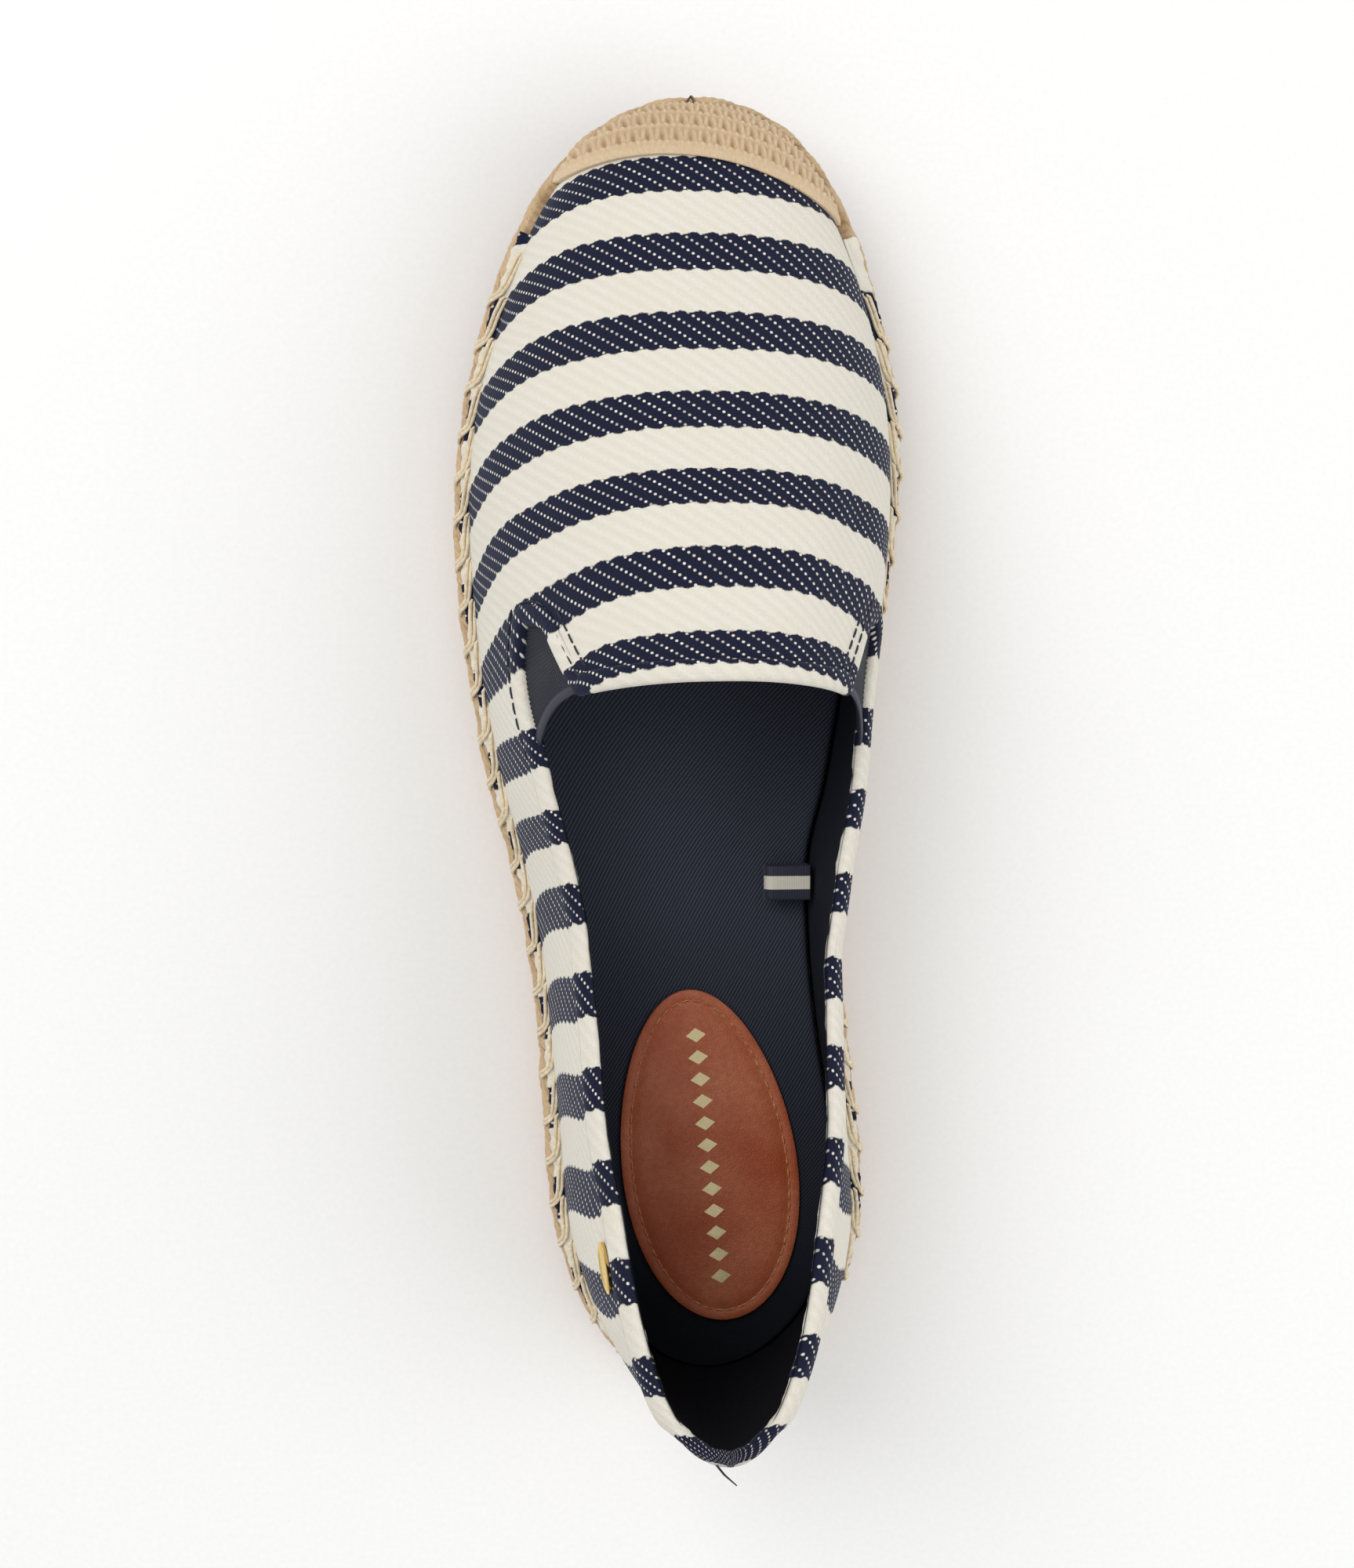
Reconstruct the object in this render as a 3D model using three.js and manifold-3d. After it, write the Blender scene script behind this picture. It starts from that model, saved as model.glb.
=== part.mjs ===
// A slip-on espadrille, left shoe, in millimetres.
// +Y points to the toe, +X to the inner (medial) side of the foot, +Z up.
// The shoe stands on z = 0, and the origin is the middle of its outline on the floor.
import * as THREE from 'three';
import { mergeVertices } from 'three/addons/utils/BufferGeometryUtils.js';
import Module from 'manifold-3d';

const wasm = await Module();
wasm.setup();

// ---------- driving dimensions ----------
const LENGTH = 260;            // overall length, at the widest ring of the jute braid
const TOE_SPRING = 12;         // height of the toe tip above the floor
const SPRING_START = 38;       // the sole is flat behind this station
const SPRING_POWER = 1.6;
const SOLE_HEIGHT = 17;        // floor to the top of the jute, on the flat
const RUBBER_HEEL = 4;         // outsole thickness under the heel
const RUBBER_FORE = 3.2;       // outsole thickness under the forefoot
const RUBBER_INSET = 0.9;      // how far the rubber stays inside the braid's edge
const FOOT_INSET = 2.85;       // sole edge to the foot of the upper's wall
const UPPER_WALL = 2;          // canvas and lining together
const FLANGE_INSET = 1.2;      // sole edge to the edge of the canvas turned out on the jute
const FLANGE_HEIGHT = 1.4;
const INSOLE_THICKNESS = 3;
const PATCH_THICKNESS = 1;
const GORE_THICKNESS = 1.2;
const GORE_DEPTH = 0.4;        // the elastic lies this far below the canvas's face
const CAP_PROUD = 1.8;         // crochet's face above the canvas
const CAP_FOOT_INSET = 1.8;    // sole edge to the last crochet row, spread out on the jute
const CAP_FOOT_HEIGHT = 2.4;
const HEEL_BULGE = 1.2;
const GAP = 0.3;               // clearance between pieces that meet
const SKIRT = 4;               // how far a form runs on below its foot before it is trimmed

const TOE_ROUND_START = 60;    // stations where the ends' rounding begins
const HEEL_ROUND_START = -88;
const TOE_ROUND_POWER = 2.2;
const HEEL_ROUND_POWER = 2;    // the heel's end is round
const OUTER_FULLNESS = 0.82;   // under 1, the outer side's arch is fuller than a half ellipse
const HEEL_OUTER_FULLNESS = 1.8;  // over 1, the heel's walls go up steeply and then lean in
const HEEL_INNER_FULLNESS = 2.6;
const DOME_ROUND_START = 95;   // station where the vamp starts to fall to the toe
const STATIONS = 44;           // sections along the shoe
const ARCH_STEPS = 28;         // points over one section

// One row for each section, toe to heel. soleX and soleHalf are the middle and the half width
// of the sole, footX the middle of the upper at its foot, ridgeX and rise its highest line.
// The two ends' rounding is taken off these widths and rises afterwards.
const LAST = [
  { y: 130, soleX: 2.2, soleHalf: 43.0, footX: 2.0, ridgeX: 1.0, rise: 16.0 },
  { y: 117, soleX: 1.4, soleHalf: 42.8, footX: 0.8, ridgeX: 1.2, rise: 18.5 },
  { y: 102, soleX: 1.0, soleHalf: 42.3, footX: 0.2, ridgeX: 2.8, rise: 22.0 },
  { y: 86, soleX: 0.7, soleHalf: 42.7, footX: 0.1, ridgeX: 3.6, rise: 30.2 },
  { y: 70, soleX: 0.5, soleHalf: 43.9, footX: -0.5, ridgeX: 3.9, rise: 39.5 },
  { y: 50, soleX: -0.2, soleHalf: 44.5, footX: -1.2, ridgeX: 4.5, rise: 50.0 },
  { y: 30, soleX: -1.1, soleHalf: 42.7, footX: -1.9, ridgeX: 4.8, rise: 59.1 },
  { y: 16, soleX: -1.4, soleHalf: 40.5, footX: -2.5, ridgeX: 4.4, rise: 66.6 },
  { y: -4, soleX: -1.5, soleHalf: 36.9, footX: -2.4, ridgeX: 6.2, rise: 72.5 },
  { y: -20, soleX: -1.0, soleHalf: 33.0, footX: -2.1, ridgeX: 6.6, rise: 78.0 },
  { y: -38, soleX: 0.7, soleHalf: 31.2, footX: -0.1, ridgeX: 4.6, rise: 76.0 },
  { y: -56, soleX: 3.0, soleHalf: 31.2, footX: 1.8, ridgeX: 4.0, rise: 72.0 },
  { y: -80, soleX: 5.2, soleHalf: 31.9, footX: 4.7, ridgeX: 4.4, rise: 80.0 },
  { y: -104, soleX: 6.3, soleHalf: 31.6, footX: 6.0, ridgeX: 4.6, rise: 88.0 },
  { y: -130, soleX: 6.0, soleHalf: 31.6, footX: 5.6, ridgeX: 4.0, rise: 90.0 },
];

// Edge of the braid from its underside up: two fat plaits with a groove between them.
const BRAID_EDGE = [
  { part: 0.00, inset: 1.5 },
  { part: 0.08, inset: 0.5 },
  { part: 0.26, inset: 0.0 },
  { part: 0.44, inset: 0.6 },
  { part: 0.52, inset: 1.2 },
  { part: 0.60, inset: 0.7 },
  { part: 0.76, inset: 0.1 },
  { part: 0.92, inset: 0.6 },
  { part: 1.00, inset: 1.1 },
];

// Side view of the opening, from the back of the collar to the throat, as stations and heights.
const OPENING = [
  { at: 'behind the heel', y: -140, z: 72.0 },
  { at: 'heel', y: -118, z: 71.2 },
  { at: 'heel side', y: -90, z: 67.9 },
  { at: 'quarter', y: 3.6, z: 51.0 },
];
const THROAT = [
  { at: 'flap corner', y: 15.0, z: 68.0 },
  { at: 'flap tip', y: 17.4, z: 84.0 },
  { at: 'above the flap', y: 17.8, z: 130 },
  { at: 'above the heel', y: -140, z: 130 },
];
// clearY and clearZ point into the notch, where the elastic stays a gap away from its edge.
const NOTCH = [
  { at: 'quarter front', y: 11.6, z: 48.8, clearY: 0, clearZ: 1 },
  { at: 'notch floor', y: 20.5, z: 48.0, clearY: 0, clearZ: 1 },
  { at: 'notch corner', y: 28.0, z: 49.5, clearY: -1, clearZ: 1 },
  { at: 'flap front', y: 27.4, z: 56.3, clearY: -1, clearZ: -1 },
];
// Free edge of the elastic, bowed a little into the shoe's opening.
const GORE_EDGE = [
  { at: 'flap', y: 14.8, z: 67.6 },
  { at: 'middle', y: 12.4, z: 64.0 },
  { at: 'quarter', y: 4.0, z: 51.5 },
];

const CAP_EDGE = { y: 117.5, x: -5.0, bow: 0.0085 };        // the toe cap's back edge is a shallow arc
const PATCH = { x: 5.4, y: -80.8, half: 18, length: 68.6, turn: 12 };
const TAB = { y: -24.5, z: 25, width: 7, reach: 9.5, tall: 3.2, strip: 0.8, sink: 1.0 };
const STUD = { y: -93.5, z: 60, long: 10, tall: 4, thick: 1.2 };

// ---------- reading the table ----------
// Smooth curve through one column of the table.
function along(column, y) {
  let row = LAST.length - 2;
  while (row > 0 && y > LAST[row].y) row -= 1;
  const from = LAST[row + 1];
  const to = LAST[row];
  const before = LAST[Math.min(row + 2, LAST.length - 1)];
  const after = LAST[Math.max(row - 1, 0)];
  const step = to.y - from.y;
  const t = THREE.MathUtils.clamp((y - from.y) / step, 0, 1);
  const slopeFrom = (to[column] - before[column]) / (to.y - before.y) * step;
  const slopeTo = (after[column] - from[column]) / (after.y - from.y) * step;
  return from[column] * (2 * t ** 3 - 3 * t ** 2 + 1) + slopeFrom * (t ** 3 - 2 * t ** 2 + t)
    + to[column] * (3 * t ** 2 - 2 * t ** 3) + slopeTo * (t ** 3 - t ** 2);
}

function springAt(y) {
  const past = Math.max(0, y - SPRING_START) / (LENGTH / 2 - SPRING_START);
  return TOE_SPRING * past ** SPRING_POWER;
}

function rubberAt(y) {
  return THREE.MathUtils.lerp(RUBBER_HEEL, RUBBER_FORE, THREE.MathUtils.smoothstep(y, -40, 40));
}

// Rounding of an outline whose two tips are at +tip and -tip: 1 in the middle, 0 at the tips.
function roundEnds(y, tip) {
  if (y > TOE_ROUND_START) {
    const toe = Math.min(1, (y - TOE_ROUND_START) / (tip - TOE_ROUND_START));
    return Math.max(0, 1 - toe ** 2) ** (1 / TOE_ROUND_POWER);
  }
  if (y < HEEL_ROUND_START) {
    const heel = Math.min(1, (HEEL_ROUND_START - y) / (tip + HEEL_ROUND_START));
    return Math.max(0, 1 - heel ** HEEL_ROUND_POWER) ** (1 / HEEL_ROUND_POWER);
  }
  return 1;
}

function roundVamp(y, tip) {
  const fall = THREE.MathUtils.clamp((y - DOME_ROUND_START) / (tip - DOME_ROUND_START), 0, 1);
  return Math.sqrt(Math.max(0, 1 - fall ** 2));
}

function stationAt(index, tip) {
  return tip * Math.cos(Math.PI * index / STATIONS);
}

// ---------- closed bodies from sections ----------
// Each section is a loop of points. Neighbouring loops are joined, and the two end loops
// have folded flat, so that the body is closed once equal points are merged.
function loft(sections) {
  const positions = sections.flat().flatMap((p) => [p.x, p.y, p.z]);
  const count = sections[0].length;
  const faces = [];
  for (let s = 0; s < sections.length - 1; s += 1) {
    for (let k = 0; k < count; k += 1) {
      const next = (k + 1) % count;
      const a = s * count + k;
      const b = s * count + next;
      const c = (s + 1) * count + next;
      const d = (s + 1) * count + k;
      faces.push(a, c, b, a, d, c);
    }
  }
  const geometry = new THREE.BufferGeometry();
  geometry.setAttribute('position', new THREE.Float32BufferAttribute(positions, 3));
  geometry.setIndex(faces);
  return geometry;
}

function toSolid(geometry) {
  const bare = geometry.clone();
  bare.deleteAttribute('normal');
  bare.deleteAttribute('uv');
  const merged = mergeVertices(bare, 1e-4);
  const kept = [];
  for (let i = 0; i < merged.index.count; i += 3) {
    const [a, b, c] = [0, 1, 2].map((k) => merged.index.getX(i + k));
    if (a !== b && b !== c && c !== a) kept.push(a, b, c);
  }
  return new wasm.Manifold(new wasm.Mesh({
    numProp: 3,
    vertProperties: Float32Array.from(merged.attributes.position.array),
    triVerts: Uint32Array.from(kept),
  }));
}

function toMesh(name, solid, material) {
  const { vertProperties, triVerts } = solid.getMesh();
  const geometry = new THREE.BufferGeometry();
  geometry.setAttribute('position', new THREE.Float32BufferAttribute(vertProperties, 3));
  geometry.setIndex(Array.from(triVerts));
  geometry.computeVertexNormals();
  const mesh = new THREE.Mesh(geometry, material);
  mesh.name = name;
  return mesh;
}

// A plate with the sole's outline. Each layer has a height at every station and an inset
// from the outline whose middle line and half width are the named columns.
function plate(layers, middle, inset) {
  const sections = [];
  for (let i = 0; i <= STATIONS; i += 1) {
    const side = (sign) => layers.map(({ height, inset: own }) => {
      const tip = LENGTH / 2 - inset - own;
      const y = stationAt(i, tip);
      const half = (along('soleHalf', y) - inset - own) * roundEnds(y, tip);
      return new THREE.Vector3(along(middle, y) + sign * half, y, height(y));
    });
    sections.push([...side(-1), ...side(1).reverse()]);
  }
  return toSolid(loft(sections));
}

// The upper's own form: an arch at every station, from foot to foot over the ridge: a half ellipse
// in front, steeper walls at the heel.
// grow moves the whole surface outwards, and skirt carries its foot further down.
function dome(grow, skirt = 0) {
  const tip = LENGTH / 2 - FOOT_INSET + grow;
  const sections = [];
  for (let i = 0; i <= STATIONS; i += 1) {
    const y = stationAt(i, tip);
    const foot = SOLE_HEIGHT + springAt(y);
    const half = along('soleHalf', y) - FOOT_INSET + grow;
    const rise = (along('rise', y) + grow) * roundVamp(y, tip);
    const heelPart = THREE.MathUtils.smoothstep(-y, 60, 125);
    const lean = THREE.MathUtils.smoothstep(-y, 60, 105);
    const outerPower = THREE.MathUtils.lerp(OUTER_FULLNESS, HEEL_OUTER_FULLNESS, lean);
    const innerPower = THREE.MathUtils.lerp(1, HEEL_INNER_FULLNESS, lean);
    const arch = [];
    for (let k = 0; k <= ARCH_STEPS; k += 1) {
      const angle = Math.PI * k / ARCH_STEPS;
      const up = Math.sin(angle);
      const side = Math.cos(angle);
      const reach = side > 0 ? -(side ** outerPower) : (-side) ** innerPower;
      const round = roundEnds(y, tip);
      const middle = THREE.MathUtils.lerp(along('footX', y), along('ridgeX', y), up);
      const bulge = HEEL_BULGE * heelPart * Math.sin(Math.PI * up);
      arch.push(new THREE.Vector3(middle + half * round * reach, y - bulge, foot + rise * up));
    }
    if (skirt > 0) {
      const down = new THREE.Vector3(0, 0, -skirt);
      arch.unshift(arch[0].clone().add(down));
      arch.push(arch[arch.length - 1].clone().add(down));
    }
    sections.push(arch);
  }
  return toSolid(loft(sections));
}

function shell(outer, inner) {
  return dome(outer).subtract(dome(inner, SKIRT));
}

// ---------- cutters ----------
// A prism across the shoe, from a side view given as stations and heights.
function sidePrism(rows, fromX = -80, toX = 80) {
  const outline = new THREE.Shape(rows.map(({ y, z }) => new THREE.Vector2(y, z)));
  const geometry = new THREE.ExtrudeGeometry(outline, { depth: toX - fromX, bevelEnabled: false });
  geometry.applyMatrix4(new THREE.Matrix4().makeBasis(
    new THREE.Vector3(0, 1, 0), new THREE.Vector3(0, 0, 1), new THREE.Vector3(1, 0, 0)));
  geometry.translate(fromX, 0, 0);
  return toSolid(geometry);
}

// A tall prism over everything in front of the toe cap's back edge, moved forward by shift.
function toePrism(shift) {
  const reach = 60;
  const steps = 24;
  const arc = [];
  for (let k = 0; k <= steps; k += 1) {
    const x = THREE.MathUtils.lerp(-reach, reach, k / steps);
    arc.push(new THREE.Vector2(x, CAP_EDGE.y + shift - CAP_EDGE.bow * (x - CAP_EDGE.x) ** 2));
  }
  arc.push(new THREE.Vector2(reach, LENGTH), new THREE.Vector2(-reach, LENGTH));
  const geometry = new THREE.ExtrudeGeometry(new THREE.Shape(arc), { depth: 100, bevelEnabled: false });
  return toSolid(geometry);
}

function ellipsePrism(long, tall, depth) {
  const outline = new THREE.Shape();
  outline.absellipse(0, 0, long / 2, tall / 2, 0, Math.PI * 2, false, 0);
  return new THREE.ExtrudeGeometry(outline, { depth, bevelEnabled: false, curveSegments: 24 });
}

// ---------- the pieces ----------
const finish = (color, roughness, metalness = 0) => (
  new THREE.MeshStandardMaterial({ color, roughness, metalness }));

function outsole() {
  const layers = [
    { height: (y) => springAt(y), inset: 0.8 },
    { height: (y) => springAt(y) + 0.8, inset: 0 },
    { height: (y) => springAt(y) + rubberAt(y), inset: 0 },
  ];
  return toMesh('outsole', plate(layers, 'soleX', RUBBER_INSET), finish(0xb97b3d, 0.55));
}

function juteMidsole() {
  const layers = BRAID_EDGE.map(({ part, inset }) => ({
    inset,
    height: (y) => springAt(y) + THREE.MathUtils.lerp(rubberAt(y) + GAP, SOLE_HEIGHT, part),
  }));
  return toMesh('jute_midsole', plate(layers, 'soleX', 0), finish(0xd9b27c, 0.9));
}

function flatPlate(middle, inset, low, high) {
  return plate([
    { height: (y) => springAt(y) + low, inset: 0 },
    { height: (y) => springAt(y) + high, inset: 0 },
  ], middle, inset);
}

// A form of the upper with a rim turned out on the jute, trimmed to stand on it. The rim
// stays inside the sole's edge by the inset.
function footedDome(grow, inset, height) {
  const rim = flatPlate('soleX', inset, SOLE_HEIGHT - SKIRT, SOLE_HEIGHT + GAP + height);
  const aboveJute = flatPlate('soleX', -20, SOLE_HEIGHT + GAP, 110);
  return dome(grow, SKIRT).add(rim).intersect(aboveJute);
}

function upper() {
  const opening = sidePrism([...OPENING, ...NOTCH, ...THROAT]);
  const flanged = footedDome(0, FLANGE_INSET, FLANGE_HEIGHT);
  const underCap = flanged.intersect(toePrism(-GAP)).intersect(dome(0, SKIRT));
  const body = flanged.subtract(toePrism(-GAP)).add(underCap)
    .subtract(dome(-UPPER_WALL, 2 * SKIRT)).subtract(opening);
  return toMesh('upper', body, finish(0xe9e2d0, 0.9));
}

function toeCap() {
  const body = footedDome(CAP_PROUD, CAP_FOOT_INSET, CAP_FOOT_HEIGHT)
    .subtract(dome(GAP, 2 * SKIRT)).intersect(toePrism(0));
  return toMesh('toe_cap', body, finish(0xe6c79c, 0.95));
}

// Elastic gusset: fills the notch, and its free edge runs from the flap to the quarter.
function gore(name, fromX, toX) {
  const sewn = NOTCH.map(({ y, z, clearY, clearZ }) => ({ y: y + clearY * GAP, z: z + clearZ * GAP }));
  const outline = [...sewn, ...GORE_EDGE];
  const body = shell(-GORE_DEPTH, -GORE_DEPTH - GORE_THICKNESS).intersect(sidePrism(outline, fromX, toX));
  return toMesh(name, body, finish(0x2b2d42, 0.85));
}

function insole() {
  const low = SOLE_HEIGHT + GAP;
  const body = flatPlate('footX', FOOT_INSET, low, low + INSOLE_THICKNESS)
    .intersect(dome(-UPPER_WALL - GAP, SKIRT));
  return toMesh('insole', body, finish(0x20263a, 0.95));
}

function heelPatch() {
  const geometry = ellipsePrism(PATCH.half * 2, PATCH.length, PATCH_THICKNESS);
  const mesh = toMesh('heel_patch', toSolid(geometry), finish(0x9c4f25, 0.5));
  mesh.position.set(PATCH.x, PATCH.y, SOLE_HEIGHT + GAP + INSOLE_THICKNESS + GAP);
  mesh.rotation.z = THREE.MathUtils.degToRad(PATCH.turn);
  return mesh;
}

// Folded ribbon: two flat runs and a round tip, sewn on at the medial wall.
function sideTab() {
  const radius = TAB.tall / 2;
  const outline = new THREE.Shape();
  outline.moveTo(0, radius);
  outline.absarc(-TAB.reach + radius, 0, radius, Math.PI / 2, Math.PI * 1.5, false);
  outline.lineTo(0, -radius);
  outline.lineTo(0, -radius + TAB.strip);
  outline.absarc(-TAB.reach + radius, 0, radius - TAB.strip, Math.PI * 1.5, Math.PI / 2, true);
  outline.lineTo(0, radius - TAB.strip);
  outline.closePath();
  const geometry = new THREE.ExtrudeGeometry(outline, {
    depth: TAB.width, bevelEnabled: false, curveSegments: 8,
  });
  const mesh = toMesh('side_tab', toSolid(geometry), finish(0x2b2d42, 0.8));
  const wall = along('footX', TAB.y) + along('soleHalf', TAB.y) - FOOT_INSET - UPPER_WALL;
  mesh.position.set(wall - TAB.sink, TAB.y + TAB.width / 2, TAB.z);
  mesh.rotation.x = Math.PI / 2;
  return mesh;
}

function heelStud() {
  const prism = ellipsePrism(STUD.long, STUD.tall, 60);
  prism.applyMatrix4(new THREE.Matrix4().makeBasis(
    new THREE.Vector3(0, 1, 0), new THREE.Vector3(0, 0, 1), new THREE.Vector3(1, 0, 0)));
  prism.translate(-60, STUD.y, STUD.z);
  const body = shell(GAP + STUD.thick, GAP).intersect(toSolid(prism));
  return toMesh('heel_stud', body, finish(0xd2ac5c, 0.25, 1));
}

const espadrille = new THREE.Group();
espadrille.add(outsole(), juteMidsole(), upper(), toeCap());
espadrille.add(gore('gore_lateral', -80, 0), gore('gore_medial', 0, 80));
espadrille.add(insole(), heelPatch(), sideTab(), heelStud());

export default espadrille;
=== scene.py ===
# %% [markdown]
# # A striped slip-on espadrille, left shoe
# The shoe is built around a fixed frame: a plain model of the same shoe whose pieces already
# have the right place and size. Every piece below is made in that frame, in metres, and then
# takes the place of its plain piece. The shoe stands on z = 0, its toe points along +Y, and
# +X is the inner side of the foot.

# %% Load the fixed frame
import math

import bpy
import numpy as np
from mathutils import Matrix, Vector


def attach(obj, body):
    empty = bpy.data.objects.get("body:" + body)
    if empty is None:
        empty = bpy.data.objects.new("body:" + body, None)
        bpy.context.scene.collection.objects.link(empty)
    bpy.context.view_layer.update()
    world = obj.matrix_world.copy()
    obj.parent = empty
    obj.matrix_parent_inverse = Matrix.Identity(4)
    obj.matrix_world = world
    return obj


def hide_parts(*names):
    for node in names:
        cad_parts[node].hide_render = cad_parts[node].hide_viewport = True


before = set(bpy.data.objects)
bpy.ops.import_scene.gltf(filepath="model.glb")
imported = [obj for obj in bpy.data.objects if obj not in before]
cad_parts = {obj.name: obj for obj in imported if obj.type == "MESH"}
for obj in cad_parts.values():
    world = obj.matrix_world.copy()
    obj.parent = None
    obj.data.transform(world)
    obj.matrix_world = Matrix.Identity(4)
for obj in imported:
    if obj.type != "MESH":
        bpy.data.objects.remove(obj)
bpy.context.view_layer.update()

MM = 0.001
bpy.ops.object.select_all(action="DESELECT")
chance = np.random.default_rng(7)
print("pieces in the frame:", sorted(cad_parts))

# %% [markdown]
# ## Camera, floor and light
# A shoe like this is shown from straight above, so the camera looks down from half a metre
# with a long lens, which keeps the sole's outline true. The floor is a plain pale sheet. A
# wide soft lamp high over the outer side of the toe and a weaker one over the inner side
# show the weave without hard shadows, and the world fills in the rest.

# %% Camera
CAMERA_PLACE = (-0.0443, 0.0283, 0.5285)
CAMERA_TURN = (-3.73, -4.88, 0.01)
LENS = 58.05

lens = bpy.data.cameras.new("camera")
lens.lens = LENS
lens.sensor_width = 36
camera = bpy.data.objects.new("camera", lens)
camera.location = CAMERA_PLACE
camera.rotation_euler = [math.radians(turn) for turn in CAMERA_TURN]
bpy.context.scene.collection.objects.link(camera)
bpy.context.scene.camera = camera

# %% Lamps and world
def lamp(name, place, aim, size, power):
    """A square soft lamp at a place, turned to look at its aim."""
    light = bpy.data.lights.new(name, "AREA")
    light.size = size
    light.energy = power
    holder = bpy.data.objects.new(name, light)
    holder.location = place
    holder.rotation_euler = (Vector(aim) - Vector(place)).to_track_quat("-Z", "Y").to_euler()
    bpy.context.scene.collection.objects.link(holder)


lamp("key", (-0.55, 0.45, 0.95), (0, 0, 0.03), 0.8, 5.9)
lamp("fill", (0.75, -0.2, 0.7), (0, 0, 0.03), 0.9, 3.2)
world = bpy.data.worlds.new("studio")
world.use_nodes = True
world.node_tree.nodes["Background"].inputs["Color"].default_value = (1, 1, 1, 1)
world.node_tree.nodes["Background"].inputs["Strength"].default_value = 0.62
bpy.context.scene.world = world
bpy.context.scene.view_settings.view_transform = "Standard"

# %% [markdown]
# ## How a finish is made
# Each finish starts from one real material. A colour is written as the hex value that a
# painter's chart would give, and one function turns it to the linear values that light is
# computed in. Another small function adds a node, sets it up and links its inputs, so that a
# pattern reads from top to bottom like a recipe.

# %% Colour and node helpers
def linear(hex_colour):
    """An sRGB hex colour as linear red, green, blue and alpha."""
    parts = [int(hex_colour[i:i + 2], 16) / 255 for i in (1, 3, 5)]
    return [p / 12.92 if p <= 0.04045 else ((p + 0.055) / 1.055) ** 2.4 for p in parts] + [1.0]


def add(tree, kind, inputs=(), **settings):
    """Adds a node. Inputs, by place or by name, are numbers, colours, sockets or nodes."""
    node = tree.nodes.new("ShaderNode" + kind)
    for name, value in settings.items():
        setattr(node, name, value)
    pairs = inputs.items() if isinstance(inputs, dict) else enumerate(inputs)
    for key, value in pairs:
        if isinstance(value, bpy.types.Node):
            value = value.outputs[0]
        if isinstance(value, bpy.types.NodeSocket):
            tree.links.new(value, node.inputs[key])
        else:
            node.inputs[key].default_value = value
    return node


def finish(name, pattern, **shader):
    """A material: pattern links what varies over it, and shader sets what stays the same."""
    made = bpy.data.materials.new(name)
    made.use_nodes = True
    tree = made.node_tree
    principled = tree.nodes["Principled BSDF"]
    for key, value in shader.items():
        principled.inputs[key.replace("_", " ").title().replace("Ior", "IOR")].default_value = value
    for key, value in pattern(tree).items():
        if isinstance(value, bpy.types.Node):
            value = value.outputs[0]
        tree.links.new(value, principled.inputs[key])
    print("finish:", name)
    return made


def blend_colours(tree, factor, first, second):
    """Colour that goes from first to second as the factor goes from 0 to 1."""
    return add(tree, "Mix", {0: factor, 6: first, 7: second}, data_type="RGBA").outputs[2]


def calc(tree, operation, *values, **settings):
    """A sum on numbers or sockets."""
    return add(tree, "Math", values, operation=operation, **settings)


def mottle(tree, where, scale, detail, **more):
    """Soft noise at a scale."""
    return add(tree, "TexNoise", {"Vector": where, "Scale": scale, "Detail": detail, **more})


def bumped(tree, strength, distance, height):
    """A normal bent by a height."""
    return add(tree, "Bump", {"Strength": strength, "Distance": distance, "Height": height})


def stained(tree, colour, stain, cause, low, high, most):
    """A colour with a second one laid over it as a cause goes from low to high."""
    return blend_colours(tree, add(tree, "MapRange", [cause, low, high, 0.0, most]), colour,
                         linear(stain))


# %% [markdown]
# ## The last
# A last is the solid foot that a shoe is built on. Here it is a short table: at each station
# along the shoe it gives the middle and the half width of the sole, the middle of the upper at
# its foot, and the place and height of its ridge. A smooth curve goes through each column.
# The upper is close to a half ellipse at every station, a little fuller on the outer side, and
# its walls lean in at the heel. Everything
# sewn to the upper reads the same table, so that it all lies on one surface.

# %% The last's sizes in millimetres
HALF_LENGTH = 130
TOE_SPRING = 12
SPRING_START = 38
SOLE_HEIGHT = 17
RUBBER_HEEL = 4
RUBBER_FORE = 3.2
FOOT_INSET = 2.85
TIP = HALF_LENGTH - FOOT_INSET  # station of the canvas at the toe, and minus it at the heel
WALL = 2
HEEL_BULGE = 1.2
TOE_ROUND_START = 60
HEEL_ROUND_START = -88
TOE_ROUND_POWER = 2.2
OUTER_FULLNESS = 0.82   # under 1, the outer side's arch is fuller than a half ellipse
HEEL_FULLNESS = (1.8, 2.6)  # over 1, the heel's outer and inner walls lean in as they rise
DOME_ROUND_START = 95

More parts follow.
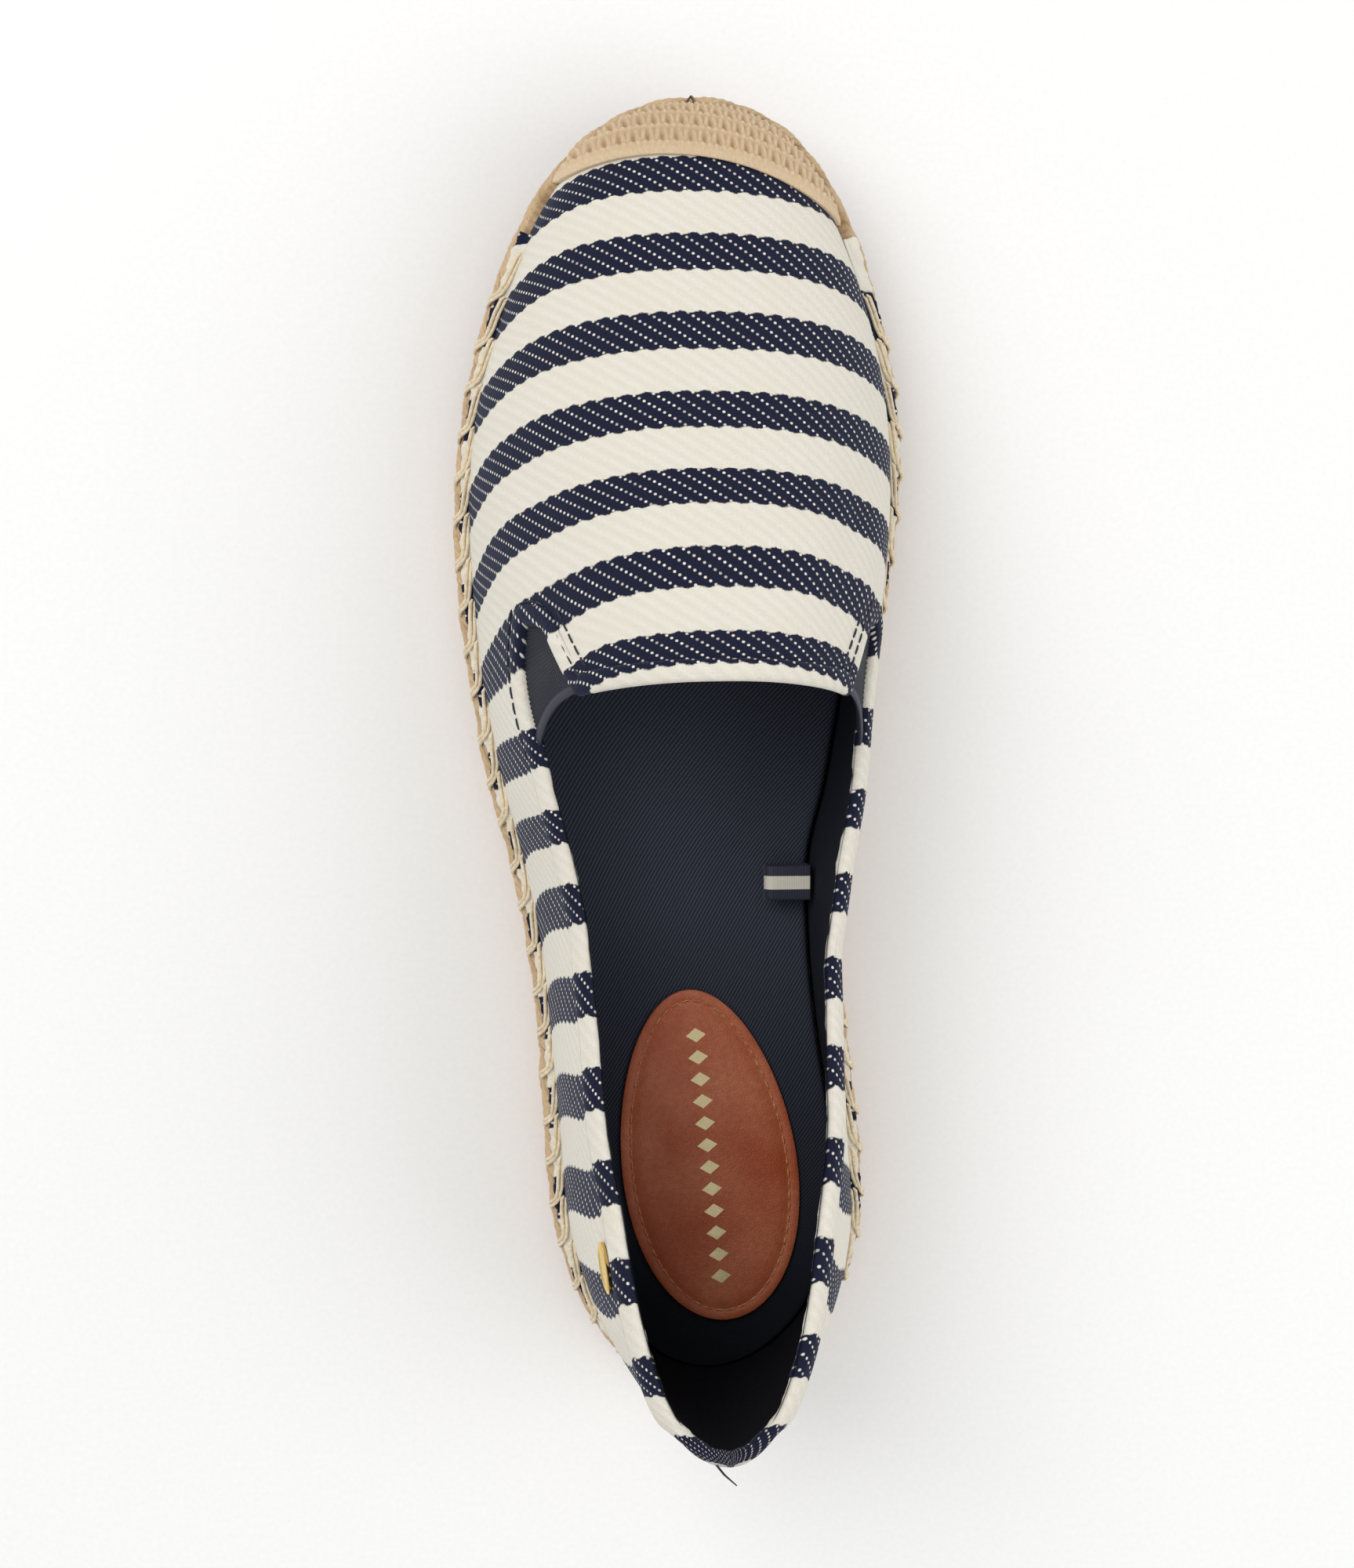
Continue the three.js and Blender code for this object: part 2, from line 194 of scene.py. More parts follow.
LAST_COLUMNS = ("y", "sole_x", "sole_half", "foot_x", "ridge_x", "rise")
LAST_ROWS = (
    (-130, 6.0, 31.6, 5.6, 4.0, 90.0),
    (-104, 6.3, 31.6, 6.0, 4.6, 88.0),
    (-80, 5.2, 31.9, 4.7, 4.4, 80.0),
    (-56, 3.0, 31.2, 1.8, 4.0, 72.0),
    (-38, 0.7, 31.2, -0.1, 4.6, 76.0),
    (-20, -1.0, 33.0, -2.1, 6.6, 78.0),
    (-4, -1.5, 36.9, -2.4, 6.2, 72.5),
    (16, -1.4, 40.5, -2.5, 4.4, 66.6),
    (30, -1.1, 42.7, -1.9, 4.8, 59.1),
    (50, -0.2, 44.5, -1.2, 4.5, 50.0),
    (70, 0.5, 43.9, -0.5, 3.9, 39.5),
    (86, 0.7, 42.7, 0.1, 3.6, 30.2),
    (102, 1.0, 42.3, 0.2, 2.8, 22.0),
    (117, 1.4, 42.8, 0.8, 1.2, 18.5),
    (130, 2.2, 43.0, 2.0, 1.0, 16.0),
)
LAST = {name: np.array(column, float) for name, column in zip(LAST_COLUMNS, zip(*LAST_ROWS))}


# %% Reading the last
def lerp(a, b, t):
    return a + (b - a) * t


def smooth(x, low, high):
    """0 below low, 1 above high, and a soft step between."""
    t = np.clip((np.asarray(x, float) - low) / (high - low), 0, 1)
    return t * t * (3 - 2 * t)


def along(name, y):
    """Smooth curve through one column of the last's table."""
    ys, values = LAST["y"], LAST[name]
    slopes = np.gradient(values)
    slopes[1:-1] = (values[2:] - values[:-2]) / (ys[2:] - ys[:-2])
    slopes[0] = (values[1] - values[0]) / (ys[1] - ys[0])
    slopes[-1] = (values[-1] - values[-2]) / (ys[-1] - ys[-2])
    y = np.clip(y, ys[0], ys[-1])
    row = np.clip(np.searchsorted(ys, y, side="right") - 1, 0, len(ys) - 2)
    step = ys[row + 1] - ys[row]
    t = (y - ys[row]) / step
    return (values[row] * (2 * t**3 - 3 * t**2 + 1) + slopes[row] * step * (t**3 - 2 * t**2 + t)
            + values[row + 1] * (3 * t**2 - 2 * t**3) + slopes[row + 1] * step * (t**3 - t**2))


def spring(y):
    """How far the sole has risen from the floor towards the toe."""
    past = np.maximum(0, y - SPRING_START) / (HALF_LENGTH - SPRING_START)
    return TOE_SPRING * past**1.6


def rubber(y):
    return lerp(RUBBER_HEEL, RUBBER_FORE, smooth(y, -40, 40))


def round_ends(y, tip):
    """1 along the middle of the shoe, falling to 0 at its two tips."""
    toe = np.clip((y - TOE_ROUND_START) / (tip - TOE_ROUND_START), 0, 1)
    heel = np.clip((HEEL_ROUND_START - y) / (tip + HEEL_ROUND_START), 0, 1)
    return (1 - toe**2) ** (1 / TOE_ROUND_POWER) * np.sqrt(1 - heel**2)


def fullness(y):
    """Powers of the arch on the outer and the inner side."""
    lean = smooth(-np.asarray(y, float), 60, 105)
    return lerp(OUTER_FULLNESS, HEEL_FULLNESS[0], lean), lerp(1.0, HEEL_FULLNESS[1], lean)


def heel_bulge(y, up):
    """How far the heel's wall stands back at a part of its height."""
    return HEEL_BULGE * smooth(-y, 60, 125) * np.sin(np.pi * up)


# %% [markdown]
# ## The upper's surface, with its creases
# A canvas upper never lies quite like its last. Where the foot bends there are shallow folds
# across the vamp, and the quarters go in and out a little below the collar. Each crease is
# one row: its station, its place over the arch, its length, width, turn and depth. It is
# pressed into the surface as a soft trough, or raised as a ridge where the depth is negative.

# %% Creases and the surface
# station, degrees over the arch, length, width, turn in degrees, depth
CREASES = (
    (44, 128, 16, 5.0, 62, 0.55),
    (36, 138, 15, 4.0, 58, -0.40),
    (52, 40, 17, 5.0, -60, 0.50),
    (30, 34, 13, 4.0, -52, -0.35),
    (72, 92, 20, 6.0, 88, 0.35),
    (-34, 148, 12, 6.0, 15, 0.60),
    (-52, 152, 11, 7.0, 10, -0.45),
    (-76, 150, 14, 7.0, -8, 0.50),
    (-30, 30, 12, 6.0, -14, 0.55),
    (-58, 27, 12, 8.0, -6, -0.45),
    (-80, 30, 13, 6.0, 8, 0.45),
    (-112, 145, 10, 6.0, 4, 0.45),
    (-110, 36, 10, 6.0, -6, 0.40),
)
ARCH_RADIUS = 42  # turns an angle over the arch into millimetres of canvas


def creasing(angle, y):
    """Depth pressed into the surface, in millimetres."""
    depth = np.zeros(np.broadcast(angle, y).shape)
    for station, over, length, width, turn, deep in CREASES:
        across = (angle - math.radians(over)) * ARCH_RADIUS
        ahead = y - station
        c, s = math.cos(math.radians(turn)), math.sin(math.radians(turn))
        run, off = across * c + ahead * s, ahead * c - across * s
        depth = depth + deep * np.exp(-(run / length) ** 2 - (off / width) ** 2)
    return depth


def surface(angle, y, grow=0.0):
    """Points of the upper, grow millimetres outside its canvas. Angle 0 is the outer foot,
    pi / 2 the ridge and pi the inner foot."""
    tip = TIP + grow
    angle, y = np.broadcast_arrays(np.asarray(angle, float), np.clip(y, -tip, tip))
    up, side = np.sin(angle), np.cos(angle)
    half = along("sole_half", y) - FOOT_INSET + grow
    fall = np.clip((y - DOME_ROUND_START) / (tip - DOME_ROUND_START), 0, 1)
    rise = (along("rise", y) + grow) * np.sqrt(1 - fall**2)
    outer, inner = fullness(y)
    reach = np.where(side > 0, -np.abs(side) ** outer, np.abs(side) ** inner) * round_ends(y, tip)
    middle = lerp(along("foot_x", y), along("ridge_x", y), up)
    press = creasing(angle, y) * smooth(up, 0.02, 0.25) * (1 - smooth(y, 95, 110))
    x = middle + (half - press) * reach
    z = SOLE_HEIGHT + spring(y) + (rise - press) * up
    return np.stack([x, y - heel_bulge(y, up), z], axis=-1)


def place_on_last(points):
    """The angle and the station of the surface nearest to some points beside it."""
    y = points[:, 1].copy()
    for _ in range(3):
        fall = np.clip((y - DOME_ROUND_START) / (TIP - DOME_ROUND_START), 0, 1)
        rise = np.maximum(along("rise", y) * np.sqrt(1 - fall**2), 3.0)
        up = np.clip((points[:, 2] - SOLE_HEIGHT - spring(y)) / rise, 0, 1)
        y = points[:, 1] + heel_bulge(y, up)
    wide = along("sole_half", y) - FOOT_INSET
    wide = np.maximum(wide * round_ends(y, TIP), 2.0)
    off = np.clip((points[:, 0] - lerp(along("foot_x", y), along("ridge_x", y), up)) / wide, -1, 1)
    outer, inner = fullness(y)
    side = np.where(off < 0, np.abs(off) ** (1 / outer), -np.abs(off) ** (1 / inner))
    return np.arctan2(up, side), y


# %% [markdown]
# ## The cloth's own coordinates
# The stripes run across the roll of cloth, so they can't be painted by height or length: they
# climb over the vamp, lean along the quarters and wrap round the heel. Every piece of canvas
# carries a UV map in millimetres of cloth. U goes over the arch along a stripe, and V goes
# from toe to heel, in steps of one repeat at each stripe's front edge. A small table lays the
# stripes on the last as the cutter did; around the heel V follows the girth.

# %% Girth tables
REPEAT = 17.7          # one navy and one cream band, millimetres of cloth
STRIPE_FRONTS = (111.4, 93.0, 74.4, 55.5, 37.4, 20.6, 4.5, -11.6, -28.8, -46.2, -64.8,
                 -83.0, -101.5, -119.4, -137.0)
GRID_ANGLES = np.linspace(0, np.pi, 121)
GRID_STATIONS = np.linspace(-127.1, 127.1, 401)


def girth_tables():
    """Millimetres over the arch from the ridge, and along the shoe from station 0."""
    grid = surface(GRID_ANGLES[:, None], GRID_STATIONS[None, :])
    over = np.linalg.norm(np.diff(grid, axis=0), axis=2)
    over = np.vstack([np.zeros((1, over.shape[1])), np.cumsum(over, axis=0)])
    over = over - over[60]
    middle = int(np.argmin(np.abs(GRID_STATIONS)))
    foot = np.where(GRID_ANGLES < np.pi / 2, over[0, middle], over[-1, middle])[:, None]
    own_foot = np.where(GRID_ANGLES[:, None] < np.pi / 2, over[:1], over[-1:])
    over = np.where(GRID_STATIONS[None, :] < 0, over - own_foot + foot, over)
    run = np.linalg.norm(np.diff(grid[:, :, :2], axis=1), axis=2)
    ahead = np.hstack([np.zeros((run.shape[0], 1)), np.cumsum(run, axis=1)])
    ahead = ahead - ahead[:, middle:middle + 1]
    back = 0.5 * (ahead[:, :1] + ahead[::-1, :1])
    ahead = np.where(GRID_STATIONS[None, :] < 0, ahead * back / ahead[:, :1], GRID_STATIONS[None, :])
    return over, ahead


OVER, AHEAD = girth_tables()


def read_table(table, angle, y):
    a = np.clip(angle / np.pi, 0, 1) * (len(GRID_ANGLES) - 1)
    s = np.clip((y - GRID_STATIONS[0]) / (GRID_STATIONS[-1] - GRID_STATIONS[0]), 0, 1)
    s = s * (len(GRID_STATIONS) - 1)
    i = np.minimum(a.astype(int), len(GRID_ANGLES) - 2)
    j = np.minimum(s.astype(int), len(GRID_STATIONS) - 2)
    a, s = a - i, s - j
    return (table[i, j] * (1 - a) * (1 - s) + table[i + 1, j] * a * (1 - s)
            + table[i, j + 1] * (1 - a) * s + table[i + 1, j + 1] * a * s)


DRIFT_COLUMNS = ("station", "outer_foot", "outer_collar", "inner_foot", "inner_collar")
DRIFT = ((-130, 5.0, 6.4, 5.0, 7.3), (-110, 5.0, 9.0, 4.5, 6.2), (-92, 4.2, 7.3, 4.0, 5.0),
         (-74, 3.7, 6.1, 3.0, 2.4), (-56, 3.7, 5.9, 2.2, 1.2), (-20, 3.7, 5.6, 1.5, 1.5),
         (8, 3.2, 5.4, 0.0, 1.4), (30, 2.9, 0.9, -2.5, 0.9), (60, 2.6, 0.0, -1.0, 0.0),
         (85, 3.0, 0.0, 1.2, 0.0), (110, 1.5, 0.0, -1.0, 0.0))
OUTER_SAG = 3.5        # taken off at mid wall, where the outer quarter's stripes run straight
COLLAR_HEIGHT = 52     # of the wall above the sole
RIDGE_SLIP = 0.9       # on the flap, where both sides of the cloth meet


def drift(y, height, inner_side):
    """How far the stripes have slipped towards the heel, in millimetres."""
    column = {name: np.interp(y, *zip(*[(row[0], row[k]) for row in DRIFT]))
              for k, name in enumerate(DRIFT_COLUMNS) if k}
    foot = np.where(inner_side, column["inner_foot"], column["outer_foot"])
    collar = np.where(inner_side, column["inner_collar"], column["outer_collar"])
    slipped = lerp(foot, collar, smooth(height, 3, 34))
    sag = OUTER_SAG * np.sin(np.pi * np.clip(height / COLLAR_HEIGHT, 0, 1)) * smooth(-y, 5, 25)
    slipped = slipped - np.where(inner_side, 0, sag)
    up = np.clip(height / along("rise", y), 0, 1)
    ridge = RIDGE_SLIP * (1 - smooth(y, 25, 55))
    meeting = lerp(smooth(up, 0.6, 0.92), smooth(up, 0.1, 0.85), smooth(y, 20, 45)) * smooth(y, 2, 10)
    return lerp(slipped, ridge, meeting)


def cloth_place(points, inner_side):
    """U and V of the cloth, in millimetres, at some points; inner_side says which half."""
    angle, y = place_on_last(points)
    angle = np.where(inner_side, np.maximum(angle, np.pi / 2), np.minimum(angle, np.pi / 2))
    u = read_table(OVER, angle, y)
    ahead = read_table(AHEAD, angle, y)
    height = np.maximum(points[:, 2] - SOLE_HEIGHT - spring(y), 0)
    front = ahead - 0.33 * height
    for _ in range(4):
        low = lerp(0.25, 0.38, smooth(front, 5, 25))
        high = lerp(0.37, 0.40, smooth(front, 5, 25))
        front = ahead - lerp(low, high, smooth(height, 34, 56)) * height
    front = front + drift(y, height, inner_side)
    fronts = np.array(STRIPE_FRONTS[::-1])
    numbers = np.arange(len(fronts))[::-1]
    v = np.interp(front, fronts, numbers)
    v = np.where(front > fronts[-1], (fronts[-1] - front) / REPEAT, v)
    v = np.where(front < fronts[0], numbers[0] + (fronts[0] - front) / REPEAT, v)
    return u, v * REPEAT


def values_of(collection, key, width=1, kind=float):
    """One value, or a row of them, from each member of a mesh's collection."""
    values = np.empty(len(collection) * width, kind)
    collection.foreach_get(key, values)
    return values.reshape(-1, width) if width > 1 else values


def lay_cloth(piece):
    """Gives a piece of canvas its UV map in millimetres of cloth."""
    mesh = piece.data
    points = values_of(mesh.vertices, "co", 3) / MM
    corner = values_of(mesh.loops, "vertex_index", kind=int)
    angle = place_on_last(values_of(mesh.polygons, "center", 3) / MM)[0]
    inner = np.repeat(angle > np.pi / 2, values_of(mesh.polygons, "loop_total", kind=int))
    u, v = cloth_place(points[corner], inner)
    while mesh.uv_layers:
        mesh.uv_layers.remove(mesh.uv_layers[0])
    layer = mesh.uv_layers.new(name="cloth")
    layer.data.foreach_set("uv", np.stack([u, v], axis=1).ravel())


# %% [markdown]
# ## Starting a piece from a grid
# Most pieces here are sheets that wrap something: canvas over a last, braid round a sole. Each
# starts as a flat primitive grid with as many cells as it needs. Its vertices are then moved
# to where the piece's own rule says, edges that meet are merged, and the faces are turned
# outwards. The grid's first UV map is kept, since it still says where a point lies across and
# along the piece.

# %% Grid helper
def grid_piece(name, columns, rows, place, merge=True, uv_size=None, uv_name="along"):
    """A mesh grown from a flat grid; place turns (u, v) in 0..1 into points in millimetres."""
    bpy.ops.mesh.primitive_grid_add(x_subdivisions=columns, y_subdivisions=rows, size=1)
    piece = bpy.context.object
    piece.name = name
    piece.data.name = name
    flat = values_of(piece.data.vertices, "co", 3) + 0.5
    points = place(flat[:, 0], flat[:, 1]) * MM
    piece.data.vertices.foreach_set("co", points.ravel())
    layer = piece.data.uv_layers[0]
    layer.name = uv_name
    if uv_size:
        layer.data.foreach_set("uv", (values_of(layer.data, "uv", 2) * uv_size).ravel())
    bpy.ops.object.mode_set(mode="EDIT")
    bpy.ops.mesh.select_all(action="SELECT")
    if merge:
        bpy.ops.mesh.remove_doubles(threshold=0.005 * MM)
    bpy.ops.mesh.normals_make_consistent(inside=False)
    bpy.ops.object.mode_set(mode="OBJECT")
    bpy.ops.object.shade_smooth()
    return piece


def apply_all(piece):
    """Applies every modifier of a piece, in order."""
    bpy.ops.object.select_all(action="DESELECT")
    bpy.context.view_layer.objects.active = piece
    piece.select_set(True)
    for modifier in list(piece.modifiers):
        bpy.ops.object.modifier_apply(modifier=modifier.name)


def thicken(piece, thickness, offset=-1):
    """Makes a sheet solid, some millimetres thick: inwards, or evenly where the offset is 0."""
    shell = piece.modifiers.new("thickness", "SOLIDIFY")
    shell.thickness = thickness * MM
    shell.offset = offset
    apply_all(piece)


def give(piece, slot, *materials, stands_for=()):
    """Puts the finishes on a piece, and ties it to the frame."""
    if not piece.data.materials:
        for material in materials:
            piece.data.materials.append(material)
    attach(piece, "root")
    if stands_for:
        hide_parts(*stands_for)
    piece.select_set(False)
    print(piece.name, len(piece.data.polygons), "faces")


def threads(name, paths, radius, resolution=1):
    """Many short threads in one mesh: a bevelled curve with one spline a thread, made a mesh."""
    curve = bpy.data.curves.new(name, "CURVE")
    curve.dimensions = "3D"
    curve.bevel_depth = radius * MM
    curve.bevel_resolution = resolution
    curve.use_fill_caps = True
    for path, sizes in paths:
        spline = curve.splines.new("POLY")
        spline.points.add(len(path) - 1)
        spline.points.foreach_set("co", np.hstack([path * MM, np.ones((len(path), 1))]).ravel())
        spline.points.foreach_set("radius", np.broadcast_to(sizes, len(path)).astype(float))
    piece = bpy.data.objects.new(name, curve)
    bpy.context.scene.collection.objects.link(piece)
    bpy.ops.object.select_all(action="DESELECT")
    bpy.context.view_layer.objects.active = piece
    piece.select_set(True)
    bpy.ops.object.convert(target="MESH")
    piece = bpy.context.object
    bpy.ops.object.shade_smooth()
    return piece


# %% [markdown]
# ## Finish: yarn-dyed cotton twill
# The canvas is a coarse 3/1 twill. Its lengthwise yarns are cream or navy, and the cream
# crosswise yarn shows in the navy bands as small bright pips on slanting rows, one pip every
# 0.92 mm across and a row every 3 mm along. In the cream bands the same weave is only a soft
# slanting rib. The bands' edges step with the weave, so they look a little scalloped. Cotton is
# matt, with a bloom of fibre ends where it is seen at a low angle, which is the sheen.

# %% Twill
WARP = 0.92            # spacing of the yarns across a stripe, mm
WEFT = 0.74            # spacing of the yarns along the shoe, mm
NAVY_SHARE = 0.465


def twill_cell(tree, uv):
    """Sockets for the pips' mask, the cell's noise and the slanting rib, from cloth UV."""
    parts = add(tree, "SeparateXYZ", [uv])
    across = calc(tree, "DIVIDE", parts.outputs[0], WARP)
    column = calc(tree, "FLOOR", across)
    rows = calc(tree, "DIVIDE", parts.outputs[1], WEFT)
    stepped = calc(tree, "SUBTRACT", rows, column)
    stepped = calc(tree, "DIVIDE", stepped, 4.0)
    cell = calc(tree, "FLOOR", stepped)
    noise = add(tree, "TexWhiteNoise", [add(tree, "CombineXYZ", [column, cell, 0.0])],
                noise_dimensions="2D")
    u = calc(tree, "SUBTRACT", add(tree, "Math", [across], operation="FRACT"), 0.5)
    v = calc(tree, "SUBTRACT", add(tree, "Math", [stepped], operation="FRACT"), 0.5)
    u = calc(tree, "MULTIPLY", u, WARP / 0.30)
    v = calc(tree, "MULTIPLY", v, 4 * WEFT / 0.30)
    reach = add(tree, "VectorMath", [add(tree, "CombineXYZ", [u, v, 0.0])], operation="LENGTH")
    pip = add(tree, "MapRange", [reach.outputs["Value"], 1.15, 0.7, 0.0, 1.0])
    slant = calc(tree, "SUBTRACT", rows, across)
    slant = calc(tree, "MULTIPLY", slant, 2 * math.pi / 4)
    rib = calc(tree, "COSINE", slant)
    return pip, noise, rib, across


def striped_twill(tree, navy="#0D0F20", cream="#E3DDCC"):
    uv = add(tree, "UVMap", uv_map="cloth")
    pip, noise, rib, across = twill_cell(tree, uv)
    fuzz = mottle(tree, uv, 1.6, 4.0, Roughness=0.65)
    broad = mottle(tree, uv, 0.11, 2.0)
    scallop = calc(tree, "MULTIPLY", across, 2 * math.pi / 4)
    scallop = calc(tree, "SINE", scallop)
    wander = calc(tree, "MULTIPLY_ADD", fuzz, 0.9, 0.22)
    shift = calc(tree, "MULTIPLY_ADD", scallop, 0.22, wander)
    place = calc(tree, "ADD", add(tree, "SeparateXYZ", [uv]).outputs[1], shift)
    part = calc(tree, "MULTIPLY", place, 1 / REPEAT)
    part = calc(tree, "FRACT", part)
    middle = calc(tree, "SUBTRACT", part, NAVY_SHARE / 2 + 0.03)
    middle = calc(tree, "ABSOLUTE", middle)
    band = add(tree, "MapRange", [middle, NAVY_SHARE / 2 + 0.008, NAVY_SHARE / 2 - 0.008, 0.0, 1.0])
    # navy yarn varies a little along its length, and the dye is never quite even
    dark = blend_colours(tree, fuzz, linear(navy), linear("#1C213C"))
    lit = calc(tree, "MULTIPLY_ADD", noise, 0.55, 0.55)
    lit = calc(tree, "MULTIPLY", lit, pip, use_clamp=True)
    dark = blend_colours(tree, lit, dark, linear("#EDE8DC"))
    rib_shade = add(tree, "MapRange", [rib, -1.0, 1.0, 0.0, 0.34])
    pale = blend_colours(tree, rib_shade, linear("#EAE6DA"), linear("#D3CBB8"))
    pale = stained(tree, pale, "#D8D0BF", fuzz, 0.35, 0.8, 0.45)
    pale = stained(tree, pale, cream, broad, 0.4, 0.7, 0.35)
    colour = blend_colours(tree, band, pale, dark)
    # height of the weave, in millimetres: ribs, pips and fuzz
    height = calc(tree, "MULTIPLY_ADD", rib, 0.10, fuzz)
    height = calc(tree, "MULTIPLY_ADD", pip, 0.16, height)
    bump = bumped(tree, 0.75, 0.00035, height)
    rough = add(tree, "MapRange", [fuzz, 0.2, 0.8, 0.82, 0.97])
    return {"Base Color": colour, "Normal": bump, "Roughness": rough}


canvas = finish("cotton twill canvas, yarn-dyed", striped_twill, ior=1.47, sheen_weight=0.16,
                sheen_roughness=0.45, sheen_tint=linear("#B9C0DA"), specular_ior_level=0.25)


# %% [markdown]
# ## Finish: navy lining
# The lining and the insole's cover are a fine steep twill in navy: a closed, slightly dusty
# surface whose ribs are only half a millimetre apart, drawn at 0.6 mm so that they show. Both
# have painted shade towards the heel; the lining on the wall has a darker palette than the
# insole, which faces up, as painted shade.

# %% Lining twill
def fine_twill(deep, pale, dust, heel_painted_shade):
    """A fine twill, with painted shade towards the heel end, where little light gets in."""
    def pattern(tree):
        uv = add(tree, "UVMap", uv_map="cloth")
        turned = add(tree, "Mapping", {"Vector": uv, "Rotation": (0, 0, math.radians(52))})
        rib = add(tree, "TexWave", {"Vector": turned, "Scale": 1.0 / 0.6 / 3.18, "Distortion": 0.6,
                                    "Detail": 2.0, "Detail Scale": 2.0})
        fuzz = mottle(tree, uv, 2.3, 5.0, Roughness=0.7)
        place = add(tree, "SeparateXYZ", [add(tree, "TexCoord").outputs["Object"]])
        colour = blend_colours(tree, rib.outputs["Fac"], linear(deep), linear(pale))
        colour = stained(tree, colour, dust, fuzz, 0.3, 0.75, 0.5)
        # painted shade: the twill darkens towards the heel end, where little light gets in
        shade = add(tree, "MapRange", [place.outputs[1], -0.03, -0.11, 0.0, heel_painted_shade])
        colour = blend_colours(tree, shade, colour, linear("#07070B"))
        height = calc(tree, "MULTIPLY_ADD", fuzz, 0.4, rib.outputs["Fac"])
        bump = bumped(tree, 0.5, 0.0001, height)
        return {"Base Color": colour, "Normal": bump}

    return pattern


# painted shade: the lining's palette is the insole cover's made darker, for the wall, which gets less
# light than the upward-facing insole
lining = finish("cotton twill lining, piece-dyed", fine_twill("#12131B", "#343743", "#23252F", 0.75),
                roughness=0.93, ior=1.47, specular_ior_level=0.2)
bed_cover = finish("cotton twill insole cover, piece-dyed",
                   fine_twill("#22252F", "#515664", "#353946", 0.8), roughness=0.93, ior=1.47,
                   specular_ior_level=0.2)

# %% [markdown]
# ## The upper
# The canvas and its lining are one wall, 2 mm thick. A grid is wrapped over the last, given
# its thickness inwards, and the opening is cut out of it from the side, as the cutter's
# pattern would: a low collar line from the heel, a notch for the elastic on each side, and the
# tongue-like flap over the instep. The outline's corners are rounded by averaging.

# %% Outline of the opening, seen from the side
# station, height
OPENING = ((-131, 71.9), (-118, 71.2), (-90, 67.9), (3.6, 51.0), (11.6, 48.8), (20.5, 48.0),
           (28.0, 49.5), (27.4, 56.3), (15.0, 68.0))
FLAP_TIP = (18.4, 84.0)


def run_of(path):
    """Distance from a path's start to each of its points."""
    return np.concatenate([[0], np.cumsum(np.linalg.norm(np.diff(path, axis=0), axis=1))])


def resample(path, step):
    """Points at even steps along a line of points."""
    length = run_of(path)
    even = np.linspace(0, length[-1], max(2, int(round(length[-1] / step)) + 1))
    return np.stack([np.interp(even, length, path[:, k]) for k in range(path.shape[1])], axis=1)


def rounded(path, radius, step=0.25):
    """A line of points with its corners rounded by a moving average; its ends stay."""
    path = resample(np.array(path, float), step)
    reach = int(radius / step)
    kernel = np.hanning(2 * reach + 3)
    kernel = kernel / kernel.sum()
    padded = np.vstack([np.repeat(path[:1], reach + 1, 0), path, np.repeat(path[-1:], reach + 1, 0)])
    soft = np.stack([np.convolve(padded[:, k], kernel, "valid") for k in range(2)], axis=1)
    soft[0], soft[-1] = path[0], path[-1]
    return soft


side_line = rounded(OPENING, 2.2)
print("side outline:", len(side_line), "points")


# %% Cut and line the upper
ARCH_CELLS = 120
SHOE_CELLS = 220
CUTTER_REACH = 70.0
RING = 2 * ARCH_CELLS + 2  # out over the arch, and back again inside


def wrap_wall(u, v):
    """Outer face over the arch and inner face back under it, joined along the foot."""
    step = np.rint(u * RING)
    inside = (step > ARCH_CELLS) & (step < RING)
    angle = np.pi * np.where(inside, RING - 1 - step, step % RING) / ARCH_CELLS
    grow = np.where(inside, -float(WALL), 0.0)
    return surface(angle, -(TIP + grow) * np.cos(np.pi * v), grow)


def cutter_over(outline):
    """A block that stands over an outline given as stations and heights."""
    bpy.ops.mesh.primitive_circle_add(vertices=len(outline), fill_type="NGON")
    cutter = bpy.context.object
    flat = np.column_stack([np.full(len(outline), -CUTTER_REACH), outline]) * MM
    cutter.data.vertices.foreach_set("co", flat.ravel())
    bpy.ops.object.mode_set(mode="EDIT")
    bpy.ops.mesh.select_all(action="SELECT")
    bpy.ops.mesh.extrude_region_move(TRANSFORM_OT_translate={"value": (2 * CUTTER_REACH * MM, 0, 0)})
    bpy.ops.mesh.select_all(action="SELECT")
    bpy.ops.mesh.normals_make_consistent(inside=False)
    bpy.ops.object.mode_set(mode="OBJECT")
    return cutter


upper = grid_piece("canvas_upper", RING, SHOE_CELLS, wrap_wall)
upper.data.materials.append(canvas)
upper.data.materials.append(lining)
share = upper.data.uv_layers["along"].data
for face in upper.data.polygons:
    across = sum(share[i].uv.x for i in face.loop_indices) / face.loop_total
    face.material_index = int(across * RING > ARCH_CELLS + 0.6)
block = cutter_over(np.vstack([side_line[::3], [FLAP_TIP, (17.8, 120), (-150, 120), (-150, 72)]]))
cut = upper.modifiers.new("opening", "BOOLEAN")
cut.operation = "DIFFERENCE"
cut.object = block
cut.solver = "EXACT"
apply_all(upper)
bpy.data.objects.remove(block)
lay_cloth(upper)
give(upper, "canvas", canvas, lining, stands_for=["upper"])

# %% Size of the upper
canvas_box = [round(c / MM, 1) for v in (upper.bound_box[0], upper.bound_box[6]) for c in v]
print("upper box, mm:", canvas_box)

# %% [markdown]
# ## The turned edge
# The canvas is folded over at the opening, so its edge is a soft roll and not a cut. The roll
# follows the outline round both sides: one path over the last, a small profile at every
# millimetre. The profile puffs out between the edge and the stitch line, goes over the top and
# ends just inside, where the lining is sewn on.

